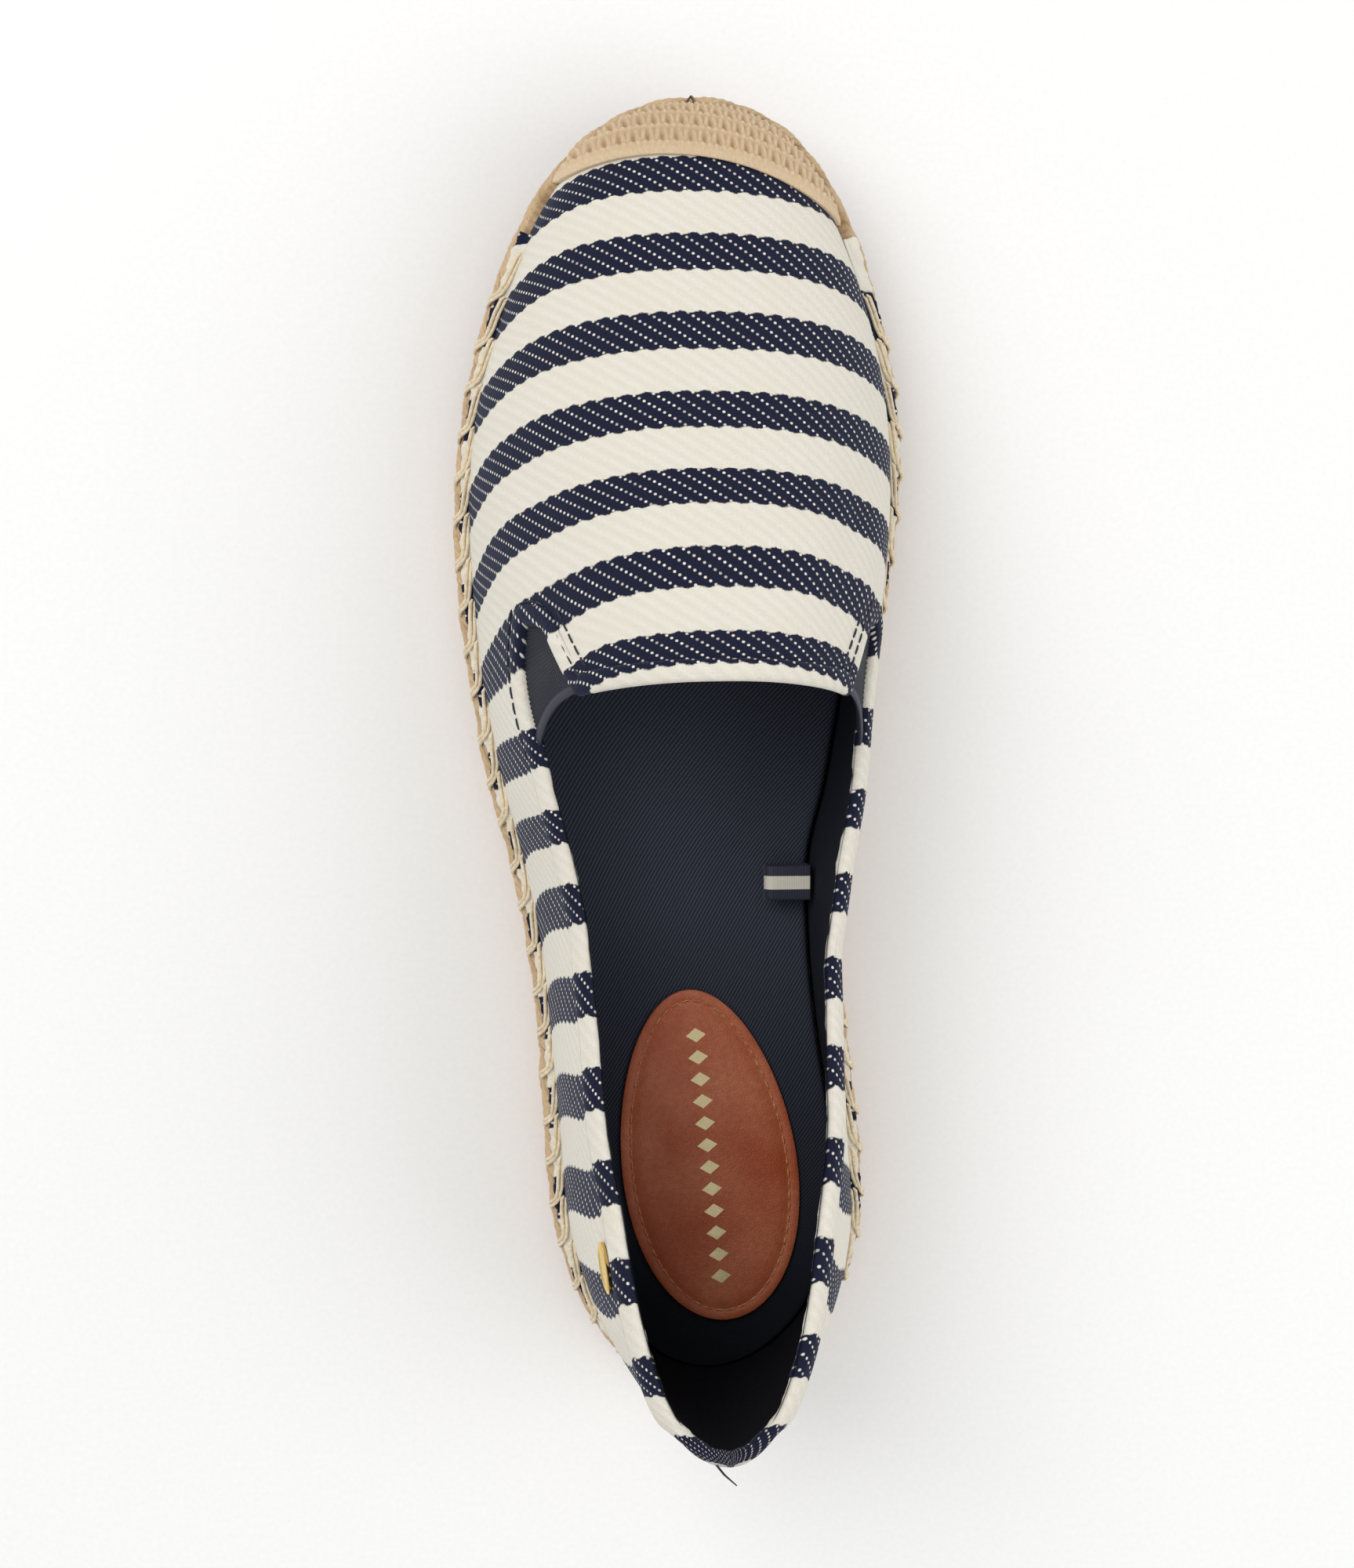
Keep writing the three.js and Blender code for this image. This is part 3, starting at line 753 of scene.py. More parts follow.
# %% The path of the edge
def on_side(outline, inner):
    """Angle and station of the last's surface under an outline seen from the side."""
    y = outline[:, 0].copy()
    for _ in range(4):
        up = np.clip((outline[:, 1] - SOLE_HEIGHT - spring(y)) / along("rise", y), 0, 1)
        y = outline[:, 0] + heel_bulge(y, up)
    angle = np.arcsin(up)
    return np.where(inner, np.pi - angle, angle), np.maximum(y, -TIP)


def over_flap(count=60):
    """The flap's free edge, from its outer corner over the ridge to its inner corner."""
    corner = np.array(OPENING[-1], float)
    start = on_side(corner[None, :], False)[0][0]
    angle = np.linspace(start, np.pi - start, count)
    y = np.full(count, corner[0])
    for _ in range(6):
        z = surface(angle, y)[:, 2]
        y = lerp(corner[0], FLAP_TIP[0], (z - corner[1]) / (FLAP_TIP[1] - corner[1]))
    return angle, y


HEEL_TURN = 0.35            # radians of the heel's round followed station by station


def edge_path(step=1.0):
    """The opening's whole edge as angles and stations, from the heel round and back to it."""
    near = -TIP * np.cos(np.linspace(0, HEEL_TURN, 60))
    height = np.interp(near, *side_line[:400].T)
    for _ in range(6):
        up = np.clip((height - SOLE_HEIGHT - spring(near)) / along("rise", near), 0, 1)
        height = np.interp(near - heel_bulge(near, up), *side_line[:400].T)
    heel = np.arcsin(up)
    outer, outer_y = on_side(side_line, False)
    beyond = (outer_y > near[-1]) & (side_line[:, 0] > near[-1] - HEEL_BULGE)
    outer, outer_y = np.append(heel, outer[beyond]), np.append(near, outer_y[beyond])
    inner, inner_y = np.pi - outer, outer_y
    flap, flap_y = over_flap()
    angle = np.concatenate([outer, flap[1:-1], inner[::-1]])
    y = np.concatenate([outer_y, flap_y[1:-1], inner_y[::-1]])
    length = run_of(surface(angle, y))
    even = np.linspace(0, length[-1], int(length[-1] / step))
    return np.interp(even, length, angle), np.interp(even, length, y), even


def unit(vectors):
    return vectors / np.maximum(np.linalg.norm(vectors, axis=1, keepdims=True), 1e-6)


def frames(points, angle, y):
    """At each point of a path: outward normal, and the direction from the edge into the cloth."""
    ahead = unit(np.roll(points, -1, axis=0) - np.roll(points, 1, axis=0))
    out = unit(surface(angle, y, 1.5) - surface(angle, y, 0.0))
    # at the very back the surface has no clear outward side, so the path's own level is used
    level = unit(np.cross(ahead, (0, 0, 1)))
    level = level * np.where(np.sum(level * (0, -1, 0), axis=1, keepdims=True) < 0, -1, 1)
    out = lerp(out, level, smooth(-y, TIP - 9, TIP - 3)[:, None])
    out = unit(out - ahead * np.sum(out * ahead, axis=1, keepdims=True))
    return out, np.cross(out, ahead)


edge_angle, edge_y, edge_run = edge_path()
edge = surface(edge_angle, edge_y)
edge[0] = edge[-1] = 0.5 * (edge[0] + edge[-1])
edge_out, edge_in = frames(edge[:-1], edge_angle[:-1], edge_y[:-1])
edge_out, edge_in = (np.vstack([f, f[:1]]) for f in (edge_out, edge_in))
print("edge of the opening:", round(edge_run[-1]), "mm")

# %% The roll
# outwards, into the cloth
ROLL = ((-0.05, 3.3), (0.12, 2.9), (0.34, 2.1), (0.42, 1.2), (0.34, 0.3), (0.05, -0.35), (-0.5, -0.72),
        (-1.1, -0.8), (-1.7, -0.62), (-2.15, -0.1), (-2.3, 0.7), (-2.25, 1.6), (-1.6, 2.0), (-0.9, 2.4))


def soft_noise(x, seed, wave):
    """A smooth wander in -1..1 along a length."""
    rng = np.random.default_rng(seed)
    total = np.zeros_like(np.asarray(x, float))
    for octave in (1.0, 0.47, 0.21):
        total = total + octave * np.sin(2 * np.pi * x / (wave * octave) + rng.uniform(0, 6.28))
    return total / 1.68


def roll_place(u, v):
    path = v * (len(edge) - 1)
    i = np.minimum(path.astype(int), len(edge) - 2)
    t = (path - i)[:, None]
    point, out, inward = (lerp(f[i], f[i + 1], t) for f in (edge, edge_out, edge_in))
    step = np.rint(u * len(ROLL)).astype(int) % len(ROLL)
    profile = np.array(ROLL)[step]
    puff = 1 + 0.12 * soft_noise(path, 3, 23.0) + 0.06 * soft_noise(path, 4, 5.0)
    return point + out * (profile[:, :1] * puff[:, None]) + inward * profile[:, 1:]


roll = grid_piece("rolled_edge", len(ROLL), len(edge) - 1, roll_place)
lay_cloth(roll)
give(roll, "canvas", canvas)

# %% [markdown]
# ## Elastic gussets
# A piece of ribbed elastic fills each notch, so that the shoe stretches over the instep. Its
# ribs run from the quarter to the flap, and its free edge is turned over as a smooth hem. It
# lies a little below the canvas's face.

# %% Gusset surface and finish
GUSSET_LOW = ((27.9, 49.6), (20.5, 48.2), (11.6, 49.0), (4.0, 51.2))
GUSSET_HIGH = ((27.5, 56.2), (23.8, 59.7), (19.4, 63.9), (15.0, 67.9))
GUSSET_BOW = 1.6
RIB_PITCH = 0.8
ELASTIC_THICK = 0.7


def gusset_place(inner):
    def place(u, v):
        low = np.stack([np.interp(u * 3, range(4), [p[k] for p in GUSSET_LOW]) for k in (0, 1)], 1)
        high = np.stack([np.interp(u * 3, range(4), [p[k] for p in GUSSET_HIGH]) for k in (0, 1)], 1)
        side = lerp(low, high, v[:, None])
        side[:, 0] += GUSSET_BOW * smooth(u, 0.5, 1.0) * np.sin(np.pi * v)
        angle, y = on_side(side, inner)
        hem = smooth(u, 0.885, 0.905)
        rib = 0.16 * np.cos(2 * np.pi * u * 22 / RIB_PITCH) * (1 - hem)
        fold = 0.55 * np.sqrt(np.clip(1 - ((u - 0.945) / 0.058) ** 2, 0, 1))
        slack = -0.5 * np.sin(np.pi * v) * np.sin(np.pi * u)
        return surface(angle, y, -1.15) + (surface(angle, y, 0) - surface(angle, y, -1)) * (
            rib + fold + slack)[:, None]
    return place


def ribbed_elastic(tree):
    uv = add(tree, "UVMap", uv_map="along")
    parts = add(tree, "SeparateXYZ", [uv])
    hem = add(tree, "MapRange", [parts.outputs[0], 19.3, 19.8, 0.0, 1.0])
    rib = calc(tree, "MULTIPLY", parts.outputs[0], 2 * math.pi / RIB_PITCH)
    rib = calc(tree, "COSINE", rib)
    pick = calc(tree, "MULTIPLY", parts.outputs[1], 2 * math.pi / 0.62)
    pick = calc(tree, "SINE", pick)
    weave = calc(tree, "MULTIPLY", rib, pick)
    weave = add(tree, "MapRange", [weave, -1.0, 1.0, 0.0, 1.0])
    weave = add(tree, "MapRange", [hem, 0.0, 1.0, weave, 0.95])
    colour = blend_colours(tree, weave, linear("#07080F"), linear("#2A2C3A"))
    bump = bumped(tree, 0.6, 0.0002, weave)
    return {"Base Color": colour, "Normal": bump}


elastic = finish("woven elastic, nylon over rubber", ribbed_elastic, roughness=0.62, ior=1.5,
                 sheen_weight=0.05, sheen_tint=linear("#7C82A0"))
GUSSETS = (("elastic_outer", "gore_lateral", False), ("elastic_inner", "gore_medial", True))
for name, node, inner in GUSSETS:
    gusset = grid_piece(name, 110, 48, gusset_place(inner), merge=False, uv_size=(22.0, 16.0))
    thicken(gusset, ELASTIC_THICK)
    give(gusset, "elastic", elastic, stands_for=[node])

# %% [markdown]
# ## The sole's outline
# Braid, flange and whip stitches all run round the sole, so they share one path: the
# sole's outline by its length, starting at the inner arch and going by the heel, the outer side
# and the toe. A ring point is a distance along it, an offset outwards and a height.

# %% Ring path
RING_STEPS = 2400


def sole_outline():
    turn = np.linspace(0, 2 * np.pi, RING_STEPS + 1)
    start = np.arccos(-8 / HALF_LENGTH)
    y = HALF_LENGTH * np.cos(start + turn)
    inner = np.sin(start + turn) > 0
    half = along("sole_half", y) * round_ends(y, HALF_LENGTH)
    points = np.stack([along("sole_x", y) + np.where(inner, half, -half), y], axis=1)
    points[-1] = points[0]
    return points


outline = sole_outline()
ring_run = run_of(outline)
RING_LENGTH = ring_run[-1]
print("round the sole:", round(RING_LENGTH), "mm")


def ring(s, out, height):
    """Points beside the sole's outline; height is above the sole's own spring."""
    s = np.asarray(s, float) % RING_LENGTH
    x, y = (np.interp(s, ring_run, outline[:, k]) for k in (0, 1))
    gap = 2.0
    ahead = np.stack([np.interp((s + gap) % RING_LENGTH, ring_run, outline[:, k])
                      - np.interp((s - gap) % RING_LENGTH, ring_run, outline[:, k]) for k in (0, 1)])
    ahead = ahead / np.linalg.norm(ahead, axis=0)
    return np.stack([x - ahead[1] * out, y + ahead[0] * out, spring(y) + height], axis=-1)


def ring_station(s):
    return np.interp(np.asarray(s) % RING_LENGTH, ring_run, outline[:, 1])


probe = ring(np.array([0.0]), 5.0, 0.0)[0]
RING_SIDE = 1.0 if probe[0] > outline[0, 0] else -1.0

# %% [markdown]
# ## Braided jute
# The midsole is a flat jute plait set on edge and sewn into a ring, so its side shows two rows
# of plaited strands that meet in a herringbone. A real plait could be swept strand by strand,
# but its strands hide one another nearly everywhere. So one closed ring is given the plait's
# relief: a lobe for each strand, five plies on a lobe, and a deep zigzag where the rows meet.

# %% Plait relief
STRANDS = 68
STRAND = RING_LENGTH / STRANDS
PLIES = 5
BRAID_LOW = 4.3
BRAID_TOP = 17.0
# part of the height, inset
BRAID_EDGE = ((0.0, 1.7), (0.05, 0.75), (0.13, 0.2), (0.27, 0.0), (0.40, 0.35), (0.47, 1.0),
              (0.51, 1.9), (0.55, 1.1), (0.62, 0.4), (0.76, 0.1), (0.88, 0.4), (0.95, 1.0), (1.0, 1.9))
FACE_SHARE = 0.8       # share of the grid's rows on the outer face


def plait(s, part):
    """Relief in millimetres at a distance along the ring and a part of the plait's height,
    with the place across the plies and along them."""
    tall = BRAID_TOP - BRAID_LOW
    wander = 0.9 * soft_noise(s, 11, RING_LENGTH / 13)
    zigzag = 0.045 * np.cos(2 * np.pi * (s / STRAND))
    spine = 0.51 + zigzag + 0.012 * soft_noise(s, 12, RING_LENGTH / 31)
    lower = part < spine
    away = np.where(lower, part / spine, (1 - part) / (1 - spine))
    climb = away * tall / 2
    lean = 0.62 * climb + 0.055 * climb**2
    phase = (s + wander - lean) / STRAND + np.where(lower, 0.0, 0.5)
    strand = np.floor(phase)
    across = phase - strand
    lobe = np.sqrt(np.clip(1 - (2 * across - 1) ** 2, 0, 1))
    twist = 0.14 * np.sin(2 * np.pi * (climb / 5.5 + 0.37 * strand))
    ply = np.abs(np.sin(np.pi * (across + twist * 0.25) * PLIES)) ** 0.75
    size = 1 + 0.16 * np.sin(strand * 2.4 + np.where(lower, 0.0, 1.7)) + 0.1 * np.sin(strand * 5.3)
    edge_inset = np.interp(part - zigzag * np.sin(np.pi * part), *zip(*BRAID_EDGE))
    relief = 0.62 * lobe * size + 0.42 * ply * size - edge_inset
    relief = relief - 0.7 * np.exp(-((part - spine) * tall / 0.45) ** 2)
    return relief, (across + strand) * STRAND * 0.75, climb + strand * 3.1


def braid_place(u, v):
    """Outer face from the underside up, then back down inside."""
    s = u * RING_LENGTH
    face = v <= FACE_SHARE + 1e-9
    part = np.where(face, v / FACE_SHARE, 1 - (v - FACE_SHARE) / (1 - FACE_SHARE))
    relief, _, _ = plait(s, np.clip(part, 0, 1))
    fade = np.sin(np.pi * np.clip(part, 0, 1)) ** 0.25
    out = np.where(face, relief * fade - (1 - fade) * 1.2, -9.0)
    height = lerp(BRAID_LOW, BRAID_TOP, part)
    swell = np.where(face, 0.25 * (relief + 0.6) * np.sign(part - 0.5) * np.abs(2 * part - 1) ** 3, 0)
    return ring(s, RING_SIDE * out, height + swell)


def dress(piece, rule):
    """Turns a piece's grid UV into millimetres of yarn, and marks how hollow each place is, for painted
    shade.
    """
    layer = piece.data.uv_layers["along"]
    across, run, hollow = rule(*values_of(layer.data, "uv", 2).T)
    layer.data.foreach_set("uv", np.stack([across, run], axis=1).ravel())
    mark = piece.data.attributes.new("hollow", "FLOAT", "CORNER")
    mark.data.foreach_set("value", np.clip(hollow, 0, 1).astype(np.float32))


def plait_dressing(u, v):
    part = np.clip(np.where(v <= FACE_SHARE, v / FACE_SHARE, 0.5), 0.001, 0.999)
    relief, across, run = plait(u * RING_LENGTH, part)
    inset = np.interp(part, *zip(*BRAID_EDGE))
    # the third value is how much painted shade falls here: more where the plait's relief is low
    return across, run, 0.9 - 1.15 * (relief + inset) + 0.25 * inset


braid = grid_piece("braided_jute", 1360, 56, braid_place)
dress(braid, plait_dressing)


# %% Jute finish
def spun_fibre(pale, middle, deep, shade, spin):
    """Fibres drawn out along the yarn, paler where they catch the light, darker between; painted shade
    darkens the hollows.
    """
    def pattern(tree):
        uv = add(tree, "UVMap", uv_map="along")
        drawn = add(tree, "Mapping", {"Vector": uv, "Rotation": (0, 0, math.radians(spin)),
                                      "Scale": (5.5, 0.9, 1.0)})
        fibre = mottle(tree, drawn, 1.0, 5.0, Roughness=0.7)
        place = add(tree, "TexCoord").outputs["Object"]
        patch = mottle(tree, place, 140.0, 3.0)
        speck = mottle(tree, place, 1500.0, 2.0)
        colour = blend_colours(tree, add(tree, "MapRange", [fibre, 0.32, 0.68, 0.0, 1.0]),
                               linear(deep), linear(pale))
        colour = stained(tree, colour, middle, patch, 0.35, 0.7, 0.7)
        # painted shade: the yarn darkens towards the shade colour where the hollow mark is high
        hollow = add(tree, "Attribute", attribute_name="hollow").outputs["Fac"]
        colour = stained(tree, colour, shade, hollow, 0.0, 1.0, 0.85)
        height = calc(tree, "MULTIPLY_ADD", fibre, 1.0, speck)
        bump = bumped(tree, 0.8, 0.00045, height)
        return {"Base Color": colour, "Normal": bump}
    return pattern


jute = finish("jute, spun and plaited", spun_fibre("#F0D9B4", "#DDBB8E", "#C09766", "#8A633A", 24),
              roughness=0.88, ior=1.5, sheen_weight=0.2, sheen_tint=linear("#F2DFC0"))
give(braid, "jute", jute, stands_for=["jute_midsole"])

# %% [markdown]
# ## Gum rubber outsole
# A thin sheet of gum rubber is cemented under the braid. It is moulded, so its side is smooth
# and its lower edge is rounded, and underneath it has a herringbone of small bars. The sheet is
# one closed ring drawn in to the shoe's middle line above and below; the bars are one small
# block, modelled once and copied.

# %% Outsole
# inset, height
SOLE_EDGE = ((2.4, 0.35), (1.5, 0.45), (1.05, 0.95), (0.9, 1.7), (0.9, 2.9), (1.05, 3.5),
             (1.5, 3.85), (2.4, 3.9))
TREAD_DEPTH = 0.35


def outsole_place(u, v):
    s = u * RING_LENGTH
    rows = len(SOLE_EDGE) + 1
    step = np.rint(v * rows).astype(int)
    profile = np.array(((2.4, SOLE_EDGE[0][1]),) + SOLE_EDGE + ((2.4, SOLE_EDGE[-1][1]),))[step]
    height = profile[:, 1]
    height = np.where(height > 1, height * rubber(ring_station(s)) / RUBBER_HEEL, height)
    points = ring(s, -RING_SIDE * profile[:, 0], height)
    middle = (step == 0) | (step == rows)
    points[middle, 0] = along("sole_x", points[middle, 1])
    return points


def gum(tree):
    place = add(tree, "TexCoord").outputs["Object"]
    cloud = mottle(tree, place, 60.0, 3.0)
    grit = mottle(tree, place, 2600.0, 3.0)
    normal = add(tree, "NewGeometry").outputs["Normal"]
    # painted shade: faces that look down are darkened towards #85583A
    down = add(tree, "MapRange", [add(tree, "SeparateXYZ", [normal]).outputs[2], -0.8, -0.2, 0.0, 1.0])
    colour = blend_colours(tree, add(tree, "MapRange", [cloud, 0.3, 0.7, 0.0, 1.0]),
                           linear("#B87C42"), linear("#C58B50"))
    colour = blend_colours(tree, down, linear("#85583A"), colour)
    rough = add(tree, "MapRange", [grit, 0.3, 0.7, 0.42, 0.6])
    bump = bumped(tree, 0.25, 0.0001, grit)
    return {"Base Color": colour, "Roughness": rough, "Normal": bump}


gum_rubber = finish("gum rubber, moulded", gum, ior=1.52)
outsole = grid_piece("gum_outsole", 480, len(SOLE_EDGE) + 1, outsole_place)
give(outsole, "rubber", gum_rubber, stands_for=["outsole"])

# %% Tread bars
BAR = (6.0, 1.6)
BAR_PITCH = (7.0, 5.0)
BAR_TURN = 35


def copies(model, name, places):
    """Joins copies of a small model, each turned about Z and moved; places are x, y, z, turn."""
    verts = np.array([v.co for v in model.data.vertices])
    faces = [tuple(p.vertices) for p in model.data.polygons]
    points, polygons = [], []
    for x, y, z, turn in places:
        c, s = math.cos(turn), math.sin(turn)
        spun = verts @ np.array([[c, s, 0], [-s, c, 0], [0, 0, 1]])
        points.append(spun + np.array([x, y, z]) * MM)
        polygons += [tuple(i + len(verts) * (len(points) - 1) for i in f) for f in faces]
    mesh = bpy.data.meshes.new(name)
    mesh.from_pydata(np.vstack(points).tolist(), [], polygons)
    made = bpy.data.objects.new(name, mesh)
    bpy.context.scene.collection.objects.link(made)
    bpy.data.objects.remove(model)
    return made


def tread_places():
    places = []
    for row in range(-26, 27):
        y = row * BAR_PITCH[1] - 0.5
        half = float(along("sole_half", y) * round_ends(np.array(y), HALF_LENGTH)) - 7.5
        for column in range(-7, 8):
            x = column * BAR_PITCH[0]
            if abs(x) < half and abs(y) < 122:
                turn = math.radians(BAR_TURN if column % 2 else -BAR_TURN)
                places.append((float(along("sole_x", y)) + x, y, float(spring(y)) + TREAD_DEPTH, turn))
    return places


bpy.ops.object.select_all(action="DESELECT")
bpy.ops.mesh.primitive_cube_add(size=1)
bar = bpy.context.object
bpy.ops.object.mode_set(mode="EDIT")
bpy.ops.transform.resize(value=(BAR[0] * MM, BAR[1] * MM, 2 * TREAD_DEPTH * MM))
bpy.ops.mesh.bevel(offset=0.2 * MM, segments=1)
bpy.ops.object.mode_set(mode="OBJECT")
tread = copies(bar, "tread_bars", tread_places())
give(tread, "rubber", gum_rubber)

# %% [markdown]
# ## Flange and whip stitches
# The upper is turned out on the jute as a narrow raw-edged flange, and a doubled waxed thread
# whips it to the plait. Each stitch comes out at the foot of the wall, runs beside it for one
# strand of the plait, turns down over the flange and goes in where the two rows of the plait
# meet. The toe cap covers this join at the front.

# %% Flange
CAP_COVERS = 104.5     # station where the toe cap starts to cover the join
# out of the wall, height
FLANGE = ((-0.5, 3.4), (0.1, 3.0), (0.45, 2.0), (1.0, 1.55), (1.75, 1.4), (2.35, 1.2), (2.55, 0.75),
          (2.3, 0.25), (1.2, 0.2), (-0.5, 0.2))


def covered_run():
    """Distances along the ring between the toe cap's two ends, the long way by the heel."""
    free = ring_run[outline[:, 1] < CAP_COVERS]
    gap = int(np.argmax(np.diff(free)))
    return free[gap + 1] - RING_LENGTH, free[gap]


run_start, run_end = covered_run()


def flange_place(u, v):
    s = lerp(run_start, run_end, v)
    step = np.rint(u * len(FLANGE)).astype(int) % len(FLANGE)
    profile = np.array(FLANGE)[step]
    fray = 0.22 * soft_noise(s, 21, 3.1) + 0.25 * soft_noise(s, 22, 14.0)
    fray = np.where(profile[:, 0] > 1.4, fray, 0)
    wave = np.where(profile[:, 0] > 0.8, 0.22 * soft_noise(s, 23, 9.3), 0)
    return ring(s, RING_SIDE * (profile[:, 0] + fray - FOOT_INSET), SOLE_HEIGHT + profile[:, 1] + wave)


flange = grid_piece("canvas_flange", len(FLANGE), 900, flange_place)
bpy.ops.object.mode_set(mode="EDIT")
bpy.ops.mesh.select_all(action="DESELECT")
bpy.ops.mesh.select_non_manifold(extend=False)
bpy.ops.mesh.edge_face_add()
bpy.ops.mesh.select_all(action="SELECT")
bpy.ops.mesh.normals_make_consistent(inside=False)
bpy.ops.object.mode_set(mode="OBJECT")
lay_cloth(flange)
give(flange, "canvas", canvas)


# %% Thread finish
def plied_thread(pale, deep, scale):
    def pattern(tree):
        place = add(tree, "TexCoord").outputs["Object"]
        wave = mottle(tree, place, scale, 4.0, Roughness=0.7)
        colour = blend_colours(tree, add(tree, "MapRange", [wave, 0.35, 0.65, 0.0, 1.0]),
                               linear(deep), linear(pale))
        bump = bumped(tree, 0.7, 0.0002, wave)
        return {"Base Color": colour, "Normal": bump}
    return pattern


cream_thread = finish("waxed cotton thread, undyed", plied_thread("#F1E4CA", "#D3BF9C", 1100.0),
                      roughness=0.75, ior=1.5, sheen_weight=0.15)
navy_thread = finish("polyester thread, navy", plied_thread("#2B2F42", "#12141F", 1500.0),
                     roughness=0.6, ior=1.5)

# %% Whip stitches
# strands along, out of the wall, height, turned down, thickness
STITCH_PATH = ((0.0, 0.3, 3.0, 0.0, 0.5), (0.08, 0.75, 2.8, 0.0, 1.0), (0.4, 1.05, 2.4, 0.0, 1.0),
               (0.75, 1.35, 2.2, 0.1, 1.0), (0.98, 1.85, 2.05, 0.4, 1.0), (1.08, 2.5, 1.6, 0.8, 1.0),
               (1.14, 3.1, 0.7, 1.0, 1.0), (1.2, 3.5, -0.8, 1.0, 1.0), (1.27, 3.55, -2.8, 1.0, 1.0),
               (1.36, 3.0, -4.6, 1.0, 0.9), (1.43, 1.7, -5.6, 1.0, 0.55))
THREAD = 0.4           # radius of one strand; each stitch has two
HEEL_RUN = float(ring_run[int(np.argmin(outline[:, 1]))])


def whip_stitch(end, heelwards):
    """Two strands that run along the wall's foot, then down over the flange to the plait."""
    path = np.array(STITCH_PATH)
    start = end - heelwards * STRAND
    sag = chance.uniform(-0.15, 0.25)
    strands = []
    for side in (-0.42, 0.42):
        wide = side * chance.uniform(0.9, 1.15)
        apart = wide * (1 - 0.35 * smooth(path[:, 0], 1.2, 1.43))
        s = start + heelwards * STRAND * path[:, 0] + apart * path[:, 3]
        out = path[:, 1] + apart * (1 - path[:, 3]) + sag * np.sin(np.pi * np.minimum(path[:, 0], 1))
        strands.append((ring(s, RING_SIDE * (out - FOOT_INSET), SOLE_HEIGHT + path[:, 2]), path[:, 4]))
    return strands


whip_paths = []
for number in range(STRANDS):
    end = (number + 0.25) * STRAND
    end = end if end < run_end else end - RING_LENGTH
    heelwards = 1 if end < HEEL_RUN else -1
    if run_start + STRAND + 4 < end < run_end - STRAND - 4:
        whip_paths += whip_stitch(end + chance.uniform(-0.6, 0.6), heelwards)
whip = threads("whip_stitches", whip_paths, THREAD, 1)
give(whip, "canvas", cream_thread)

# %% [markdown]
# ## Top stitching
# Navy thread holds the turned edge down. Along the collar it is one row, 3 mm in; the flap's
# and the quarter's sides have a second row, because they carry the elastic. Each stitch is a
# short thread whose ends dip into the cloth.

# %% Stitch rows
STITCH_TAPER = [0.6, 1, 1, 1, 0.6]


def stitch_row(places, long=2.5, gap=0.55, proud=0.16):
    """Short threads along a path of points beside the surface, laid back on the surface."""
    path = resample(places, 0.25)
    length = run_of(path)
    made = []
    for start in np.arange(gap, length[-1] - long, long + gap):
        at = start + long * np.array([0.0, 0.12, 0.5, 0.88, 1.0])
        points = np.stack([np.interp(at, length, path[:, k]) for k in range(3)], axis=1)
        angle, y = place_on_last(points)
        above = proud * np.array([-1.5, 0.6, 1, 0.6, -1.5])
        lifted = np.stack([surface(a, b, g) for a, b, g in zip(angle, y, above)])
        made.append((lifted, STITCH_TAPER))
    return made


def beside_edge(inward, first, last):
    """A path some millimetres in from the opening's edge, between two places along it."""
    chosen = (edge_run >= first) & (edge_run <= last)
    return edge[chosen] + edge_in[chosen] * inward


def run_at(station, height, inner):
    """Place along the edge nearest to a station and height on one side."""
    half = edge_run[-1] / 2
    side = edge_run > half if inner else edge_run <= half
    off = np.hypot(edge[:, 1] - station, edge[:, 2] - height) + np.where(side, 0, 1e3)
    return edge_run[int(np.argmin(off))]


top_rows = []
for inner in (False, True):
    notch = run_at(28.0, 49.5, inner)
    flap_front = run_at(26.5, 57.2, inner)
    corner = run_at(15.0, 68.0, inner)
    heel = edge_run[-1] if inner else 0.0
    quarter = run_at(2.0, 51.3, inner)
    for inward, ends in ((3.0, (heel, notch)), (5.0, (quarter, notch)), (2.6, (flap_front, corner)),
                         (5.0, (flap_front, corner))):
        top_rows += stitch_row(beside_edge(inward, min(ends), max(ends)))
    bend = np.array([[31.0, 48.2], [31.8, 52.0], [31.2, 55.6], [28.0, 59.2]])
    bend = rounded(bend, 1.5)
    angle, y = on_side(bend, inner)
    top_rows += stitch_row(surface(angle, y))
flap_start, flap_end = run_at(15.0, 68.0, False), run_at(15.0, 68.0, True)
top_rows += stitch_row(beside_edge(2.6, flap_start + 3, flap_end - 3))
top_stitches = threads("top_stitches", top_rows, 0.24, 0)
give(top_stitches, "canvas", navy_thread)

# %% [markdown]
# ## Crocheted toe cap
# A cap of cotton crochet covers the toe. Its rows run parallel to its back edge, and each
# stitch is a V of two loops with a small hole at its foot. As with the plait, the relief is
# given to one sheet over the last, which is then made 1.5 mm thick.

# %% Toe cap
CAP_EDGE_Y = 117.5
CAP_EDGE_X = -5.0
CAP_BOW = 0.0085
CAP_PROUD = 1.3        # middle of the relief above the canvas
CAP_THICK = 1.5
CAP_SPREAD = 0.5       # how far the foot of the cap spreads over the jute
ROW_PITCH = 4.2
LOOP_PITCH = 2.85
CAP_TIP = TIP + CAP_PROUD


def cap_edge(x):
    return CAP_EDGE_Y - CAP_BOW * (x - CAP_EDGE_X) ** 2


def cap_stations(angle, share):
    """Stations from the cap's back edge to the toe's tip, at an angle over the arch."""
    y = np.full_like(angle, 112.0)
    for _ in range(12):
        y = 0.5 * y + 0.5 * cap_edge(surface(angle, y, CAP_PROUD)[:, 0])
    return y + (CAP_TIP - y) * np.sin(np.pi / 2 * share)


RIDGE_STATIONS = np.linspace(105, CAP_TIP, 120)
RIDGE = surface(np.pi / 2, RIDGE_STATIONS, CAP_PROUD)
RIDGE_RUN = run_of(RIDGE[:, 1:])


